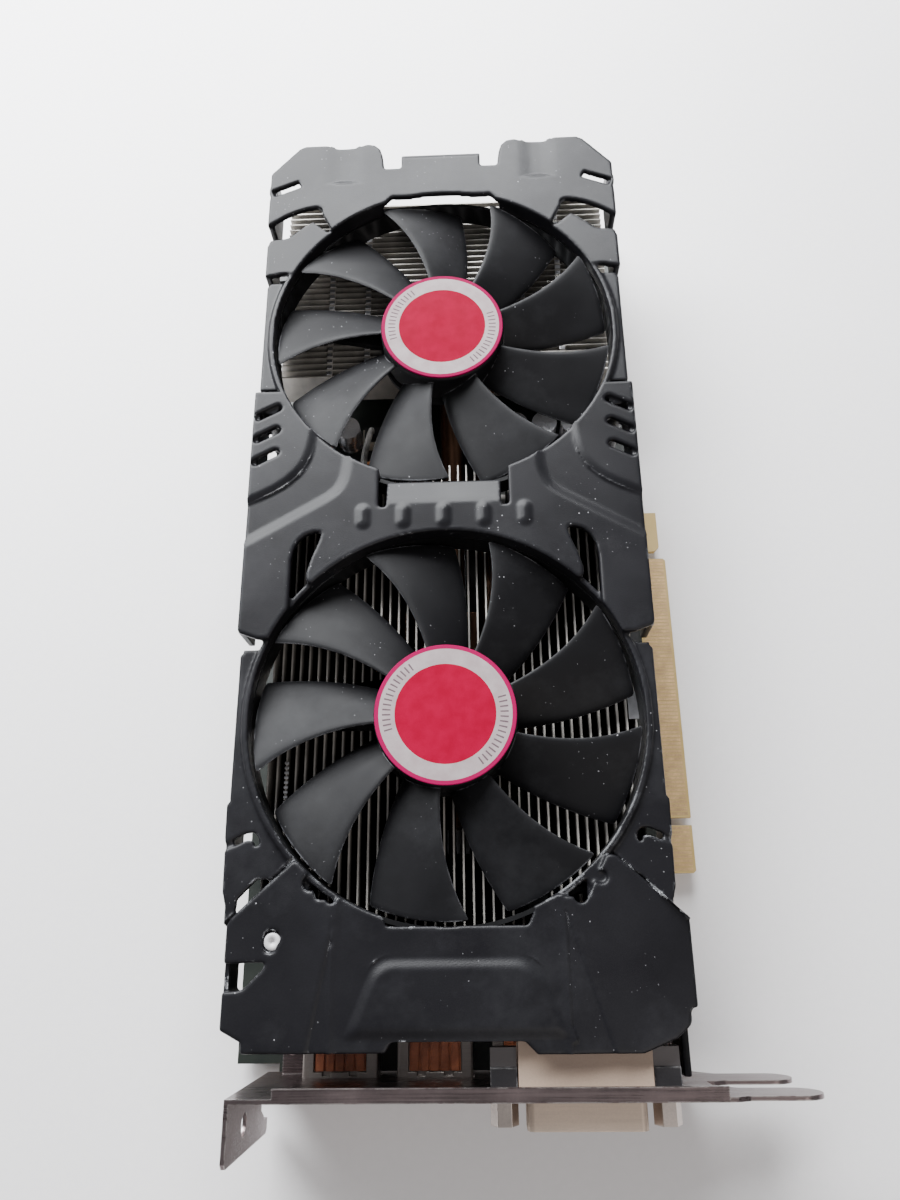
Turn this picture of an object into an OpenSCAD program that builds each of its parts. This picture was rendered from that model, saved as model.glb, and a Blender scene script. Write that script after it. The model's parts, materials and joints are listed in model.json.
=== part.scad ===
// Two-slot graphics card with twin axial fans, lying on its backplate.
// X runs towards the edge connector, Y runs from the slot bracket to the far end, Z goes up through the fans.
// Distances along Y are measured from the outer face of the slot bracket; at_card() moves them to the origin,
// which is on the underside of the backplate.

/* [Overall] */
// From the slot bracket's outer face to the far end of the shroud
card_len = 249.6; // [247:0.1:320]
// Width of the shroud across both side skirts
shroud_w = 98.6; // [97:0.2:130]
// From the backplate's underside to the top of the shroud
card_h = 40.6; // [40:0.1:50]
// From the slot bracket's outer face to the origin
origin_y = 122; // [60:1:180]

/* [Circuit board] */
// Board thickness
pcb_t = 1.6; // [1:0.1:2.4]
// Space between the resting plane and the board
pcb_gap = 3; // [2.4:0.1:6]
// Fan centreline to the board's plain long edge
pcb_left = 51.6; // [50:0.1:60]
// Fan centreline to the long edge that carries the connector
pcb_right = 52.7; // [52:0.1:60]
// Near edge of the board, from the bracket's outer face
pcb_near = 1.3; // [1:0.1:2]
// Far edge of the board, from the bracket's outer face
pcb_far = 245; // [244:0.5:300]
// How far the contact tongue stands out of the board
tongue_reach = 8.3; // [7:0.1:10]
// Key notch centre, from the bracket's outer face
key_y = 57.7; // [56:0.1:60]

/* [Slot bracket] */
// Sheet metal thickness
sheet_t = 0.9; // [0.7:0.05:1]
// Overall length, tab face to tongue tip
bracket_len = 120; // [118:0.5:124]
// Fan centreline to the outer face of the tab
tab_x = 44.8; // [44:0.1:46]
// Depth of the tab
tab_depth = 11.4; // [10:0.1:12]
// Pitch between two expansion slots
slot_pitch = 20.32; // [20:0.01:21]
// Lower edge of the bracket above the resting plane
bracket_z = 1.4; // [1:0.1:2]
// Width of the folded lip along the top edge
lip_w = 2.8; // [2:0.1:5]

/* [Fans] */
// Front fan axis, from the bracket's outer face
front_fan_y = 78.6; // [78:0.1:80]
// Distance between the two fan axes
fan_pitch = 106; // [104:0.5:112]
// Radius of the round openings in the shroud
opening_r = 45.7; // [36:0.1:47]
// Gap between blade tips and the shroud opening
tip_gap = 0.7; // [0.5:0.1:4]
// Outer radius of the hub
hub_r = 16.6; // [13:0.1:20]
// Blades on each impeller
blade_count = 9; // [7:1:11]
// Blade thickness
blade_t = 1.1; // [0.8:0.1:2]
// Radius of the steel shaft
shaft_r = 1.5; // [1.2:0.1:2]
// Radial gap between shaft and bearing
shaft_play = 0.05; // [0.02:0.01:0.1]
// Overall depth of a fan, frame base to shroud top
fan_depth = 12; // [11.5:0.1:14]

/* [Shroud] */
// Wall thickness of the moulding
wall = 1.6; // [1.2:0.1:2.5]
// How far the rails and corner pieces sit below the top plates
rail_drop = 2.2; // [1.5:0.1:3]
// Height of the side skirts
skirt_h = 12; // [8:0.5:16]
// Sideways offset of the front plate from the fan centreline
front_shift = 1.9; // [0:0.1:2.5]

/* [Cooler] */
// Fin thickness
fin_t = 0.4; // [0.3:0.05:0.8]
// Pitch of the front fins
front_fin_pitch = 2.2; // [1.8:0.1:4]
// Pitch of the rear fins
rear_fin_pitch = 2; // [1.6:0.1:4]
// Heat pipe radius
pipe_r = 3; // [2.5:0.1:3.2]
// Pitch of the heat pipes
pipe_pitch = 9.5; // [8:0.1:12]
// Screw pattern round the processor
cooler_pitch = 64; // [60:0.5:70]

/* [Sockets] */
// Spacing of the two jack screws beside the video socket
jack_pitch = 33.3; // [33:0.1:34]
// Pitch of the row of small sockets
port_pitch = 21.8; // [20:0.1:23]
// Width of a display socket shell
port_w = 17.4; // [16:0.1:18.5]
// Sliding travel of the switch
switch_travel = 1.6; // [1:0.1:2]

/* [Hidden] */
$fn = 64;
eps = 0.01;

// Levels
pcb_top = pcb_gap + pcb_t;
plate_z = card_h - wall;
rail_top = card_h - rail_drop;
skirt_z = card_h - skirt_h;
fan_z = card_h - fan_depth;
fin_top = fan_z - 0.6;

// Plan
hw = shroud_w / 2;
rear_fan_y = front_fan_y + fan_pitch;
near_y = front_fan_y;
far_y = rear_fan_y;

// Screw posts: under the front plate, under the wings and under the far lobes
post_r = 2.8;
post_hole_r = 1.05;
post_depth = 8;
posts = [[-38, 18], [41, 18], [-hw + 4, far_y - 22.6], [hw - 4, far_y - 22.6],
    [-35, card_len - 7.4], [35, card_len - 7.4]];
screw_clear_r = 1.3;

// Processor and its cooler screws
gpu = [2, 92];
cooler_holes = [for (i = [-1, 1], j = [-1, 1]) [gpu.x + i * cooler_pitch / 2, gpu.y + j * cooler_pitch / 2]];
chip_h = 1.2;
package_h = 2;
die_h = 0.8;
die_top = pcb_top + package_h + die_h;
base_z = die_top + 0.1;
base_t = 2;
pipe_z = die_top + 4.6;
rear_pipe_z = fin_top - 8;
pipe_xs = [for (i = [-1:1]) 1.5 + i * pipe_pitch];
pipe_fit = 0.05;

// Fin stacks
front_fin_x = [-43, 46];
front_fin_y = [26, 149];
rear_fin_x = [-46, 47];
rear_fin_y = [178, 238.6];
fin_floor = base_z + base_t;
rear_fin_z = pcb_top + 11.4;

// Bracket
plate_x0 = -tab_x;
tongue_tip = bracket_len - tab_x;
shoulder_x = tongue_tip - 20;
tongue_w = 10.2;
tongue_zs = [13.7, 13.7 + slot_pitch];
tab_holes_z = [6.1, 6.1 + slot_pitch];
inner_y = sheet_t;

// Ears folded inwards from the bracket and screwed to the board
bracket_ears = [[-38, 7.4], [50, 7.4]];
bracket_ear_r = 2.6;
bracket_screw_r = 1.2;

// Sockets, standing on the board
port_h = 7.4;
port_row_z = pcb_top + port_h / 2;
hdmi_w = 15.4;
hdmi_h = 6.4;
hdmi_z = pcb_top + hdmi_h / 2;
port_xs = [for (i = [0:2]) -26 + i * port_pitch];
hdmi_x = -26 + 3 * port_pitch;
dvi_x = 27.8;
dvi_z = 30.6;
jack_xs = [dvi_x - jack_pitch / 2, dvi_x + jack_pitch / 2];
jack_thread_r = 1.42;
jack_out = 5.5;

module at_card() {
    translate([0, -origin_y, 0]) children();
}

// An upright bar between two corners
module block(low, high) {
    translate(low) cube(high - low);
}

module slab(z0, z1) {
    translate([0, 0, z0]) linear_extrude(z1 - z0) children();
}

module both_sides() {
    children();
    mirror([1, 0]) children();
}

module both_walls() {
    children();
    mirror([1, 0, 0]) children();
}

// Rectangle with round corners, centred
module round_rect(w, h, r) {
    square([w - 2 * r, h], center = true);
    square([w, h - 2 * r], center = true);
    for (i = [-1, 1], j = [-1, 1]) translate([i * (w / 2 - r), j * (h / 2 - r)]) circle(r);
}

// ---------------------------------------------------------------- board

module backplate() {
    color("dimgray") at_card() difference() {
        union() {
            block([-pcb_left + 1.2, 5, 0], [pcb_right - 1.2, pcb_far - 1, 1]);
            for (p = posts) translate(p) cylinder(r = 3.2, h = pcb_gap);
        }
        for (p = posts) {
            translate([p.x, p.y, -eps]) cylinder(r = screw_clear_r, h = pcb_gap + 1);
            translate([p.x, p.y, -eps]) cylinder(r = 2.3, h = 0.9);
        }
        for (p = cooler_holes) translate([p.x, p.y, -eps]) cylinder(r = 3.4, h = 2);
        for (i = [0:8]) translate([0, 150 + i * 9, -eps]) slab(0, 2) round_rect(56, 3.4, 1.6);
    }
}

module board_screws() {
    color("dimgray") at_card() for (p = posts) translate([p.x, p.y, 0]) {
        difference() {
            translate([0, 0, 0.15]) cylinder(r = 2.1, h = 0.7);
            for (a = [0, 90]) rotate(a) translate([-1.1, -0.2, 0]) cube([2.2, 0.4, 0.5]);
        }
        translate([0, 0, 0.8]) cylinder(r = 1, h = pcb_top + 5 - 0.8);
    }
}

module pcb_outline() {
    main_0 = key_y + 0.95;
    main_1 = main_0 + 71.65;
    polygon([[-pcb_left, pcb_near + 1.7], [-41.5, pcb_near + 1.7], [-41.5, pcb_near],
        [pcb_right, pcb_near], [pcb_right, key_y - 12.6], [pcb_right + tongue_reach - 0.6, key_y - 12.6],
        [pcb_right + tongue_reach, key_y - 12], [pcb_right + tongue_reach, key_y - 0.95],
        [pcb_right + 0.6, key_y - 0.95], [pcb_right + 0.6, main_0], [pcb_right + tongue_reach, main_0],
        [pcb_right + tongue_reach, main_1 - 0.6], [pcb_right + tongue_reach - 0.6, main_1],
        [pcb_right, main_1], [pcb_right, main_1 + 2.3], [pcb_right + 5.6, main_1 + 2.3],
        [pcb_right + 6.9, main_1 + 3.6], [pcb_right + 6.9, main_1 + 14.3], [pcb_right, main_1 + 14.3],
        [pcb_right, pcb_far], [-pcb_left, pcb_far]]);
}

module pcb() {
    color("#20261f") at_card() difference() {
        slab(pcb_gap, pcb_top) pcb_outline();
        for (p = posts) translate([p.x, p.y, 0]) cylinder(r = screw_clear_r, h = card_h);
        for (p = cooler_holes) translate([p.x, p.y, 0]) cylinder(r = 1.6, h = card_h);
        for (p = bracket_ears) translate([p.x, p.y, 0]) cylinder(r = bracket_screw_r + 0.1, h = card_h);
    }
}

// Gold contacts on both faces of the tongue, one millimetre apart
module edge_contacts() {
    pad_t = 0.05;
    x0 = pcb_right + 0.8;
    pad_len = tongue_reach - 1.5;
    starts = [key_y - 12, key_y + 1.6];
    counts = [11, 71];
    color("goldenrod") at_card() for (s = [0, 1], i = [0:counts[s] - 1], z = [pcb_gap - pad_t, pcb_top])
        translate([x0, starts[s] + i, z]) cube([pad_len, 0.7, pad_t]);
}

module gpu_package() {
    color("#33493a") at_card() translate([gpu.x, gpu.y, pcb_top]) slab(0, package_h) round_rect(35, 35, 0.8);
}

module gpu_die() {
    color("#5c6066") at_card() translate([gpu.x - 7.5, gpu.y - 7.5, pcb_top + package_h])
        cube([15, 15, die_h]);
}

memory_spots = [for (i = [-1, 1], j = [-1:1]) [gpu.x + i * 27.5, gpu.y + j * 15.5],
    [gpu.x - 9, gpu.y + 27.5], [gpu.x + 9, gpu.y + 27.5]];

module memory_chips() {
    color("#1c1c1e") at_card() for (p = memory_spots)
        translate([p.x - 6, p.y - 7, pcb_top]) cube([12, 14, chip_h]);
}

module memory_pads() {
    color("#9aa3ad") at_card() for (p = memory_spots)
        translate([p.x - 5.5, p.y - 6.5, pcb_top + chip_h]) cube([11, 13, base_z - pcb_top - chip_h]);
}

// ---------------------------------------------------------------- power stage and small parts

module power_inductors() {
    color("#55585c") at_card() for (x = [-36, 24, 35]) difference() {
        translate([x, 157, pcb_top]) slab(0, 7) round_rect(9.6, 9.6, 0.8);
        translate([x, 157, pcb_top + 6.8]) cylinder(r = 3.2, h = 1);
    }
}

module capacitors() {
    spots = [[-37, 170.5], [-29, 170.5], [20, 170.5], [28.4, 170.5], [36.8, 170.5], [44.4, 153.5]];
    color("#b9bcc2") at_card() for (p = spots) translate([p.x, p.y, pcb_top]) difference() {
        cylinder(r = 3.6, h = 8.6);
        translate([0, 0, 1.2]) difference() {
            cylinder(r = 4, h = 0.5);
            cylinder(r = 3.3, h = 0.5);
        }
        for (a = [0, 60, 120]) rotate(a) translate([-2.8, -0.12, 8.45]) cube([5.6, 0.24, 1]);
    }
}

module power_transistors() {
    color("#17181a") at_card() for (x = [-48.6, 49], i = [0:4])
        translate([x - 2.5, 104 + i * 9, pcb_top]) cube([5, 6, 1]);
}

// An open ring choke standing beside the heat pipes
module choke_coil() {
    color("#8a6a4c") at_card() translate([-21, 157, pcb_top + 5.6]) rotate([90, 0, 20])
        rotate_extrude() translate([3.4, 0]) circle(2.1);
}

power_socket_y = far_y + 40;
power_socket_h = 9.4;
power_socket_l = 18.8;

module power_socket() {
    color("#141416") at_card() translate([-pcb_left - 0.6, power_socket_y - power_socket_l / 2, pcb_top])
        difference() {
            union() {
                cube([12.4, power_socket_l, power_socket_h]);
                translate([0.6, power_socket_l / 2 - 2, power_socket_h]) cube([4, 4, 0.9]);
            }
            for (i = [0:3], j = [0, 1]) translate([-eps, 0.9 + i * 4.4, 0.8 + j * 4.1])
                cube([9.4, 3.8, 3.6]);
        }
}

module power_pins() {
    color("gold") at_card() for (i = [0:3], j = [0, 1])
        translate([-pcb_left - 0.6 + 3, power_socket_y - power_socket_l / 2 + 2.5 + i * 4.4,
            pcb_top + 2.3 + j * 4.1]) cube([6.4, 0.6, 0.6]);
}

header = [-20, 170];

module fan_header() {
    color("#e6e2d6") at_card() translate([header.x - 5, header.y - 2.4, pcb_top]) difference() {
        cube([10, 4.8, 4]);
        translate([0.7, 0.7, 1]) cube([8.6, 3.4, 4]);
    }
}

plug_top = pcb_top + 6.6;

module fan_plug() {
    color("#26262a") at_card() block([header.x - 4.2, header.y - 1.6, pcb_top + 1],
        [header.x + 4.2, header.y + 1.6, plug_top]);
}

// Tube swept along points, with an upright ring square to the path at each
function unit(v) = v / norm(v);
function along(p, i) = unit(p[min(i + 1, len(p) - 1)] - p[max(i - 1, 0)]);
function side_of(d) = abs(d.z) > 0.9 ? unit(cross(d, [0, 1, 0])) : unit(cross(d, [0, 0, 1]));
function ring_at(c, d, r, sides) = let (u = side_of(d), v = cross(u, d))
    [for (k = [0:sides - 1]) c + r * (cos(k * 360 / sides) * u + sin(k * 360 / sides) * v)];
function smooth(p, steps) = [for (i = [0:len(p) - 2], s = [0:steps - 1]) let (t = s / steps,
    a = p[max(i - 1, 0)], b = p[i], c = p[i + 1], d = p[min(i + 2, len(p) - 1)])
    0.5 * (2 * b + t * (c - a) + t * t * (2 * a - 5 * b + 4 * c - d) + t * t * t * (3 * b - a - 3 * c + d)),
    p[len(p) - 1]];

module tube(path, r, sides = 8) {
    n = len(path);
    rings = [for (i = [0:n - 1]) each ring_at(path[i], along(path, i), r, sides)];
    walls = [for (i = [0:n - 2], k = [0:sides - 1]) let (a = i * sides + k, b = i * sides + (k + 1) % sides)
        each [[a, a + sides, b], [b, a + sides, b + sides]]];
    first = [for (k = [1:sides - 2]) [0, k, k + 1]];
    last = [for (k = [1:sides - 2]) [(n - 1) * sides, (n - 1) * sides + k + 1, (n - 1) * sides + k]];
    polyhedron(rings, concat(walls, first, last));
}

// Leads leave the fans at the outside of the frames' rings
lead_r = 0.9;
ring_out = opening_r + 1.1;
front_lead_route = [[-0.354 * ring_out, near_y + 0.935 * ring_out, fan_z + 2.4],
    [-19, near_y + 49.4, fan_z + 2.4], [-21, near_y + 57.4, fan_z + 1], [-21.6, near_y + 61.4, fan_z - 1.8],
    [-21.8, near_y + 67, fan_z - 3.2], [-22.4, near_y + 73, fan_z - 5.6], [-23, near_y + 79, 19],
    [-22.6, near_y + 85.6, 15.6], [header.x - 2, header.y - 0.8, 13.4], [header.x - 2, header.y, plug_top]];
rear_lead_route = [[-0.42 * ring_out, far_y - 0.9075 * ring_out, fan_z + 2.4],
    [-0.42 * ring_out - 0.5, far_y - 0.9075 * ring_out - 1.1, fan_z + 2.1],
    [-20.2, far_y - 44, fan_z + 0.6], [-20, far_y - 43.6, fan_z - 1.4], [-19.2, far_y - 41.5, fan_z - 3.2],
    [-18.4, far_y - 37.6, fan_z - 6], [-18, far_y - 32.6, 19.6], [-17.6, far_y - 25, 17.4],
    [-17.8, far_y - 18.6, 15], [header.x + 2, header.y - 0.4, 13.2], [header.x + 2, header.y, plug_top]];

module front_fan_lead() {
    color("#1a1a1c") at_card() tube(smooth(front_lead_route, 4), lead_r);
}

module rear_fan_lead() {
    color("#1a1a1c") at_card() tube(smooth(rear_lead_route, 4), lead_r);
}

switch_at = [-pcb_left + 2.2, 172];

module switch_body() {
    color("#202022") at_card() translate([switch_at.x - 2.4, switch_at.y - 4.5, pcb_top]) difference() {
        cube([4.6, 9, 3.4]);
        translate([1.2, 2.2, 1.6]) cube([2.2, 4.6, 3]);
    }
}

// Rests at one end of its slot and slides along Y
module switch_slider() {
    color("#d8d8d4") at_card() translate([switch_at.x - 1.1, switch_at.y - 2.2, pcb_top + 1.7])
        cube([2, 4.3 - switch_travel, 2.9]);
}

// ---------------------------------------------------------------- cooler

module cold_plate() {
    color("#b87a55") at_card() difference() {
        block([gpu.x - 21, gpu.y - 21, die_top], [gpu.x + 21, gpu.y + 21, pipe_z]);
        for (x = pipe_xs) translate([x, 0, pipe_z]) rotate([-90, 0, 0])
            cylinder(r = pipe_r + pipe_fit, h = 160);
    }
}

module base_plate() {
    color("#a5a8ac") at_card() {
        difference() {
            union() {
                block([-42, 36, base_z], [45, 148, fin_floor]);
                for (p = cooler_holes) translate([p.x, p.y, pcb_top]) cylinder(r = 2.8,
                    h = base_z - pcb_top + 1);
            }
            block([gpu.x - 21.2, gpu.y - 21.2, 0], [gpu.x + 21.2, gpu.y + 21.2, card_h]);
            for (p = cooler_holes) translate([p.x, p.y, 0]) cylinder(r = 1.25, h = card_h);
            for (x = pipe_xs) translate([x, 0, pipe_z]) rotate([-90, 0, 0])
                cylinder(r = pipe_r + 0.3, h = 160);
        }
    }
}

// One pipe in Y and Z: a flat run on the cold plate, a gentle rise, then a run through the rear fins
pipe_start = 56;
pipe_turn_y = 152;
pipe_flat_y = 174;
pipe_route = [[pipe_start, pipe_z], [pipe_turn_y, pipe_z], [pipe_flat_y, rear_pipe_z],
    [rear_fin_y[1] + 1, rear_pipe_z]];

module heat_pipe(x) {
    color("#b5622f") at_card() translate([x, 0, 0]) {
        for (i = [0:2]) {
            run = pipe_route[i + 1] - pipe_route[i];
            translate([0, pipe_route[i].x, pipe_route[i].y]) rotate([atan2(run.y, run.x) - 90, 0, 0])
                cylinder(r = pipe_r, h = norm(run));
        }
        for (i = [1, 2]) translate([0, pipe_route[i].x, pipe_route[i].y]) sphere(r = pipe_r + pipe_fit);
    }
}

module heat_pipe_left() {
    heat_pipe(pipe_xs[0]);
}

module heat_pipe_middle() {
    heat_pipe(pipe_xs[1]);
}

module heat_pipe_right() {
    heat_pipe(pipe_xs[2]);
}

cable_notch = [[-26, near_y + 54, fin_top - 7.6], [-17, front_fin_y[1] + 1, card_h]];

// Thin plates standing on a continuous folded floor, arched over the heat pipes
module front_fins() {
    count = floor((front_fin_x[1] - front_fin_x[0] - fin_t) / front_fin_pitch);
    color("silver") at_card() difference() {
        union() {
            block([front_fin_x[0], 36, fin_floor], [front_fin_x[1], front_fin_y[1], fin_floor + 0.5]);
            for (i = [0:count]) block([front_fin_x[0] + i * front_fin_pitch, front_fin_y[0], fin_floor],
                [front_fin_x[0] + i * front_fin_pitch + fin_t, front_fin_y[1], fin_top]);
        }
        block([gpu.x - 21.2, gpu.y - 21.2, 0], [gpu.x + 21.2, gpu.y + 21.2, pipe_z + 0.1]);
        for (x = pipe_xs) {
            block([x - pipe_r - 0.1, 50, 0], [x + pipe_r + 0.1, 160, pipe_z]);
            translate([x, 50, pipe_z]) rotate([-90, 0, 0]) cylinder(r = pipe_r + 0.1, h = 110);
        }
        block(cable_notch[0], cable_notch[1]);
    }
}

// Plates square to the pipes, joined by interlocked tabs
module rear_fins() {
    count = floor((rear_fin_y[1] - rear_fin_y[0] - fin_t) / rear_fin_pitch);
    last_y = rear_fin_y[0] + count * rear_fin_pitch + fin_t;
    color("silver") at_card() difference() {
        union() {
            for (i = [0:count]) block([rear_fin_x[0], rear_fin_y[0] + i * rear_fin_pitch, rear_fin_z],
                [rear_fin_x[1], rear_fin_y[0] + i * rear_fin_pitch + fin_t, fin_top]);
            for (x = [-33, -22.5, 22, 32.5]) block([x, rear_fin_y[0], fin_top - 0.4],
                [x + 1.6, last_y, fin_top]);
        }
        for (x = pipe_xs) translate([x, 160, rear_pipe_z]) rotate([-90, 0, 0])
            cylinder(r = pipe_r + pipe_fit, h = 100);
    }
}

// Cross-shaped spring plate behind the processor
module retention_bracket() {
    arm = norm([cooler_pitch, cooler_pitch]) + 7;
    color("#8d9196") at_card() translate([gpu.x, gpu.y, 0]) difference() {
        slab(pcb_gap - 0.9, pcb_gap - 0.1) {
            for (a = [45, 135]) rotate(a) square([arm, 8], center = true);
            circle(12);
        }
        for (i = [-1, 1], j = [-1, 1]) translate([i * cooler_pitch / 2, j * cooler_pitch / 2, 0])
            cylinder(r = 1.4, h = pcb_gap);
        translate([0, 0, 1]) cylinder(r = 7, h = pcb_gap);
    }
}

module cooler_screws() {
    color("#44464a") at_card() for (p = cooler_holes) translate([p.x, p.y, 0]) {
        difference() {
            translate([0, 0, 0.5]) cylinder(r = 2.6, h = pcb_gap - 1.4);
            for (a = [0, 90]) rotate(a) translate([-1.3, -0.25, 0.4]) cube([2.6, 0.5, 0.6]);
        }
        translate([0, 0, pcb_gap - 1]) cylinder(r = 1.2, h = base_z - pcb_gap + 1.6);
    }
}

// ---------------------------------------------------------------- shroud

// The two round fan openings
module openings_2d() {
    translate([0, near_y]) circle(opening_r);
    translate([0, far_y]) circle(opening_r);
}

// Curved pocket between a wing and the front opening
module teardrop_2d() {
    translate([opening_r, near_y]) polygon([[-8.3, 25], [-8.3, 38.6], [-8.8, 41.6], [-9.9, 43.8],
        [-11.6, 45.4], [-13.6, 46.1], [-15, 46.2], [-15.5, 45.7], [-14.9, 43.4], [-13.3, 39.4],
        [-12.2, 35.4], [-12.1, 34], [-12.5, 33], [-13.2, 32.5], [-14, 32.6], [-15.2, 33.4], [-20, 25]]);
}

// Slanted louvre in a wing
module louvre_2d(y) {
    for (i = [0, 1]) translate([43 + i * 5, y - 0.5 - i * 2.6]) circle(1.05);
    translate([45.5, y - 1.8]) rotate(-27.5) square([5.7, 2.1], center = true);
}

louvre_ys = [for (i = [0:2]) far_y - 23.6 - i * 6.6];
flap_w = 28.6;
flap_y = far_y - 52.6;

module wings_2d() {
    difference() {
        polygon([[-hw + 0.3, near_y + 20.4], [-hw, near_y + 21.4], [-hw, far_y - 19.4],
            [-hw + 0.4, far_y - 19], [hw - 0.4, far_y - 19], [hw, far_y - 19.4], [hw, near_y + 21.4],
            [hw - 0.3, near_y + 20.4], [44.4, near_y + 18.7], [-44.4, near_y + 18.7]]);
        openings_2d();
        both_sides() {
            teardrop_2d();
            translate([flap_w / 2 + 1, far_y - 47.4]) square([2, 12], center = true);
            for (y = louvre_ys) louvre_2d(y);
        }
        translate([-flap_w / 2, flap_y]) square([flap_w, 20]);
    }
}

// The part of each wing above the crease, which sits a little lower
module wing_step_2d() {
    both_sides() polygon([[24.2, far_y - 38], [24.6, far_y - 45.4], [26.4, far_y - 48.8],
        [hw + 1, near_y + 43.2], [hw + 1, far_y - 10], [24, far_y - 10]]);
}

// The raised pad that carries the louvres
module wing_pad_2d() {
    both_sides() polygon([[33.4, far_y - 31], [34.2, far_y - 39], [36.6, far_y - 43.4], [40.2, far_y - 46.8],
        [44.4, far_y - 49.2], [hw + 1, far_y - 51.4], [hw + 1, far_y - 10], [36, far_y - 10]]);
}

front_x0 = -hw + front_shift;
front_x1 = hw + front_shift;

module front_plate_2d() {
    difference() {
        polygon([[front_x0 + 4.6, 8.8], [-13, 8.8], [-11.5, 10.9], [15.5, 10.9], [18, 8.5],
            [front_x1 - 11.7, 8.5], [front_x1 - 7.2, 10.2], [front_x1 - 4.6, 11.2], [front_x1 - 1.9, 13.5],
            [front_x1 - 1.4, 16.8], [front_x1, 16.8], [front_x1, 33.2], [front_x1 - 0.4, 34.3],
            [36.8, near_y - 31.7], [35.5, near_y - 31.3], [34.4, near_y - 31.7], [30, near_y - 40],
            [-28, near_y - 40], [-30.6, near_y - 33.4], [-32.2, near_y - 32.2], [-33.6, near_y - 32], [front_x0 + 0.7, 35],
            [front_x0, 33.4], [front_x0, 26], [front_x0 + 9.2, 26.2], [front_x0 + 8.4, 24.8],
            [front_x0 + 4.4, 20.9], [front_x0, 20.4], [front_x0, 13.2], [front_x0 + 4.6, 10.9]]);
        openings_2d();
        polygon([[-14.4, near_y - 42], [-12.9, near_y - opening_r + 0.1], [17, near_y - opening_r + 0.1],
            [18.8, near_y - 42]]);
        for (c = front_notches) translate([c.x, near_y + c.y]) circle(c.z);
        translate([front_x0 + 10.2, 30.9]) circle(1.7);
        translate([front_x0 + 9.8, 29.4]) circle(1.4);
    }
}

// Round bites between the teeth on the front plate's curved edge
front_notches = [[-24.8, -39.6, 1.3], [-29.6, -36.6, 1.6], [28.4, -39.8, 1.5], [33, -36, 1.5],
    [-24, -38.6, 1.1], [-29.2, -34.6, 1.3], [27.6, -38.2, 1.4], [31.6, -35, 1.2]];

// Trapezoid panel raised from the front plate
module front_panel_2d() {
    polygon([[-21.6, 11.4], [-19.4, 17], [-16.2, 24.6], [-15.2, 26], [-13.4, 26.7], [16.4, 26.7], [18.4, 26],
        [19.6, 24.6], [23, 17], [25.4, 11.4]]);
}

// Middle of the front plate, slightly lower than its outer thirds
module front_valley_2d() {
    polygon([[-29.4, 8], [-24, near_y - 42.6], [-24, near_y - 30], [24.6, near_y - 30], [24.6, near_y - 40.6],
        [34.2, 8]]);
}

module corner_2d() {
    difference() {
        polygon([[hw, near_y - 19.6], [hw - 0.5, near_y - 19], [42.6, near_y - 19], [41.4, near_y - 19.8],
            [30, near_y - 30], [30, near_y - 44], [hw - 1.2, near_y - 45], [hw - 1.2, near_y - 41],
            [hw - 0.4, near_y - 38]]);
        openings_2d();
        // hook-shaped slot
        polygon([[hw + 1, near_y - 28.4], [44.6, near_y - 25.8], [42.8, near_y - 25.6], [41.7, near_y - 26.6],
            [41.4, near_y - 28.6], [42.6, near_y - 28.8], [42.9, near_y - 27.4], [44.4, near_y - 27.4],
            [hw + 1, near_y - 30]]);
        // window along the front plate's slanted edge
        polygon([[45.9, near_y - 43.2], [45.7, near_y - 39.8], [41.6, near_y - 35.6], [38.6, near_y - 35.6],
            [39.4, near_y - 38]]);
    }
}

module rails_2d() {
    difference() {
        for (y = [[near_y - 19.5, near_y + 16.6], [far_y - 17.4, far_y + 17.6]]) {
            translate([42, y[0]]) square([hw - 0.6 - 42, y[1] - y[0] - 1]);
            translate([43, y[1] - 2]) square([hw - 1.4 - 43, 2]);
        }
        openings_2d();
    }
}

module ears_2d() {
    difference() {
        polygon([[hw, far_y + 19], [hw, far_y + 29.6], [hw - 0.8, far_y + 31.8], [43.6, far_y + 32.4],
            [39, far_y + 36.4], [36.6, far_y + 37.9], [30, far_y + 32], [38, far_y + 20],
            [44.4, far_y + 20]]);
        openings_2d();
    }
}

module end_half_2d() {
    e = card_len;
    difference() {
        polygon([[0, e - 9.6], [16.3, e - 9.6], [16.9, e - 4.6], [17.7, e - 2], [19.2, e - 0.5],
            [21.4, e - 0.1], [25, e - 1], [30, e - 1.1], [33.4, e], [39.6, e], [41.4, e - 0.9],
            [hw, e - 10.2], [hw, far_y + 35.9], [44, far_y + 39.4], [41, far_y + 40.8],
            [38, far_y + 41.8], [35.2, far_y + 42.2], [34, far_y + 41.4], [33.8, far_y + 39.8],
            [30, far_y + 32], [0, far_y + 32]]);
        openings_2d();
        polygon([[-1, far_y + 44.9], [14, far_y + 44.9], [17.2, far_y + 41.4], [-1, far_y + 41.4]]);
        translate([44.6, e - 15.8]) rotate(-23) square([8.4, 1.2], center = true);
    }
}

// Channel pressed into each far lobe, open at the end
module lobe_channel_2d() {
    both_sides() {
        translate([24, card_len - 14.2]) square([7.6, 16]);
        translate([25, card_len - 14.8]) square([5.6, 2]);
    }
}

// Low collar that ties the plates together round each opening
module collar() {
    slab(card_h - 5, plate_z + 0.2) difference() {
        for (y = [near_y, far_y]) translate([0, y]) circle(opening_r + 1.3);
        openings_2d();
        translate([-16.6, far_y + 30]) square([33.2, 20]);
        translate([-14.6, near_y - 60]) square([33.2, 20]);
        translate([-flap_w / 2 - 2, far_y - 60]) square([flap_w + 4, 20]);
    }
}

// Side walls under one pair of plates
module skirt(y0, y1, inset, top) {
    both_walls() block([hw - inset - wall, y0, skirt_z], [hw - inset, y1, top]);
}

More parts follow.
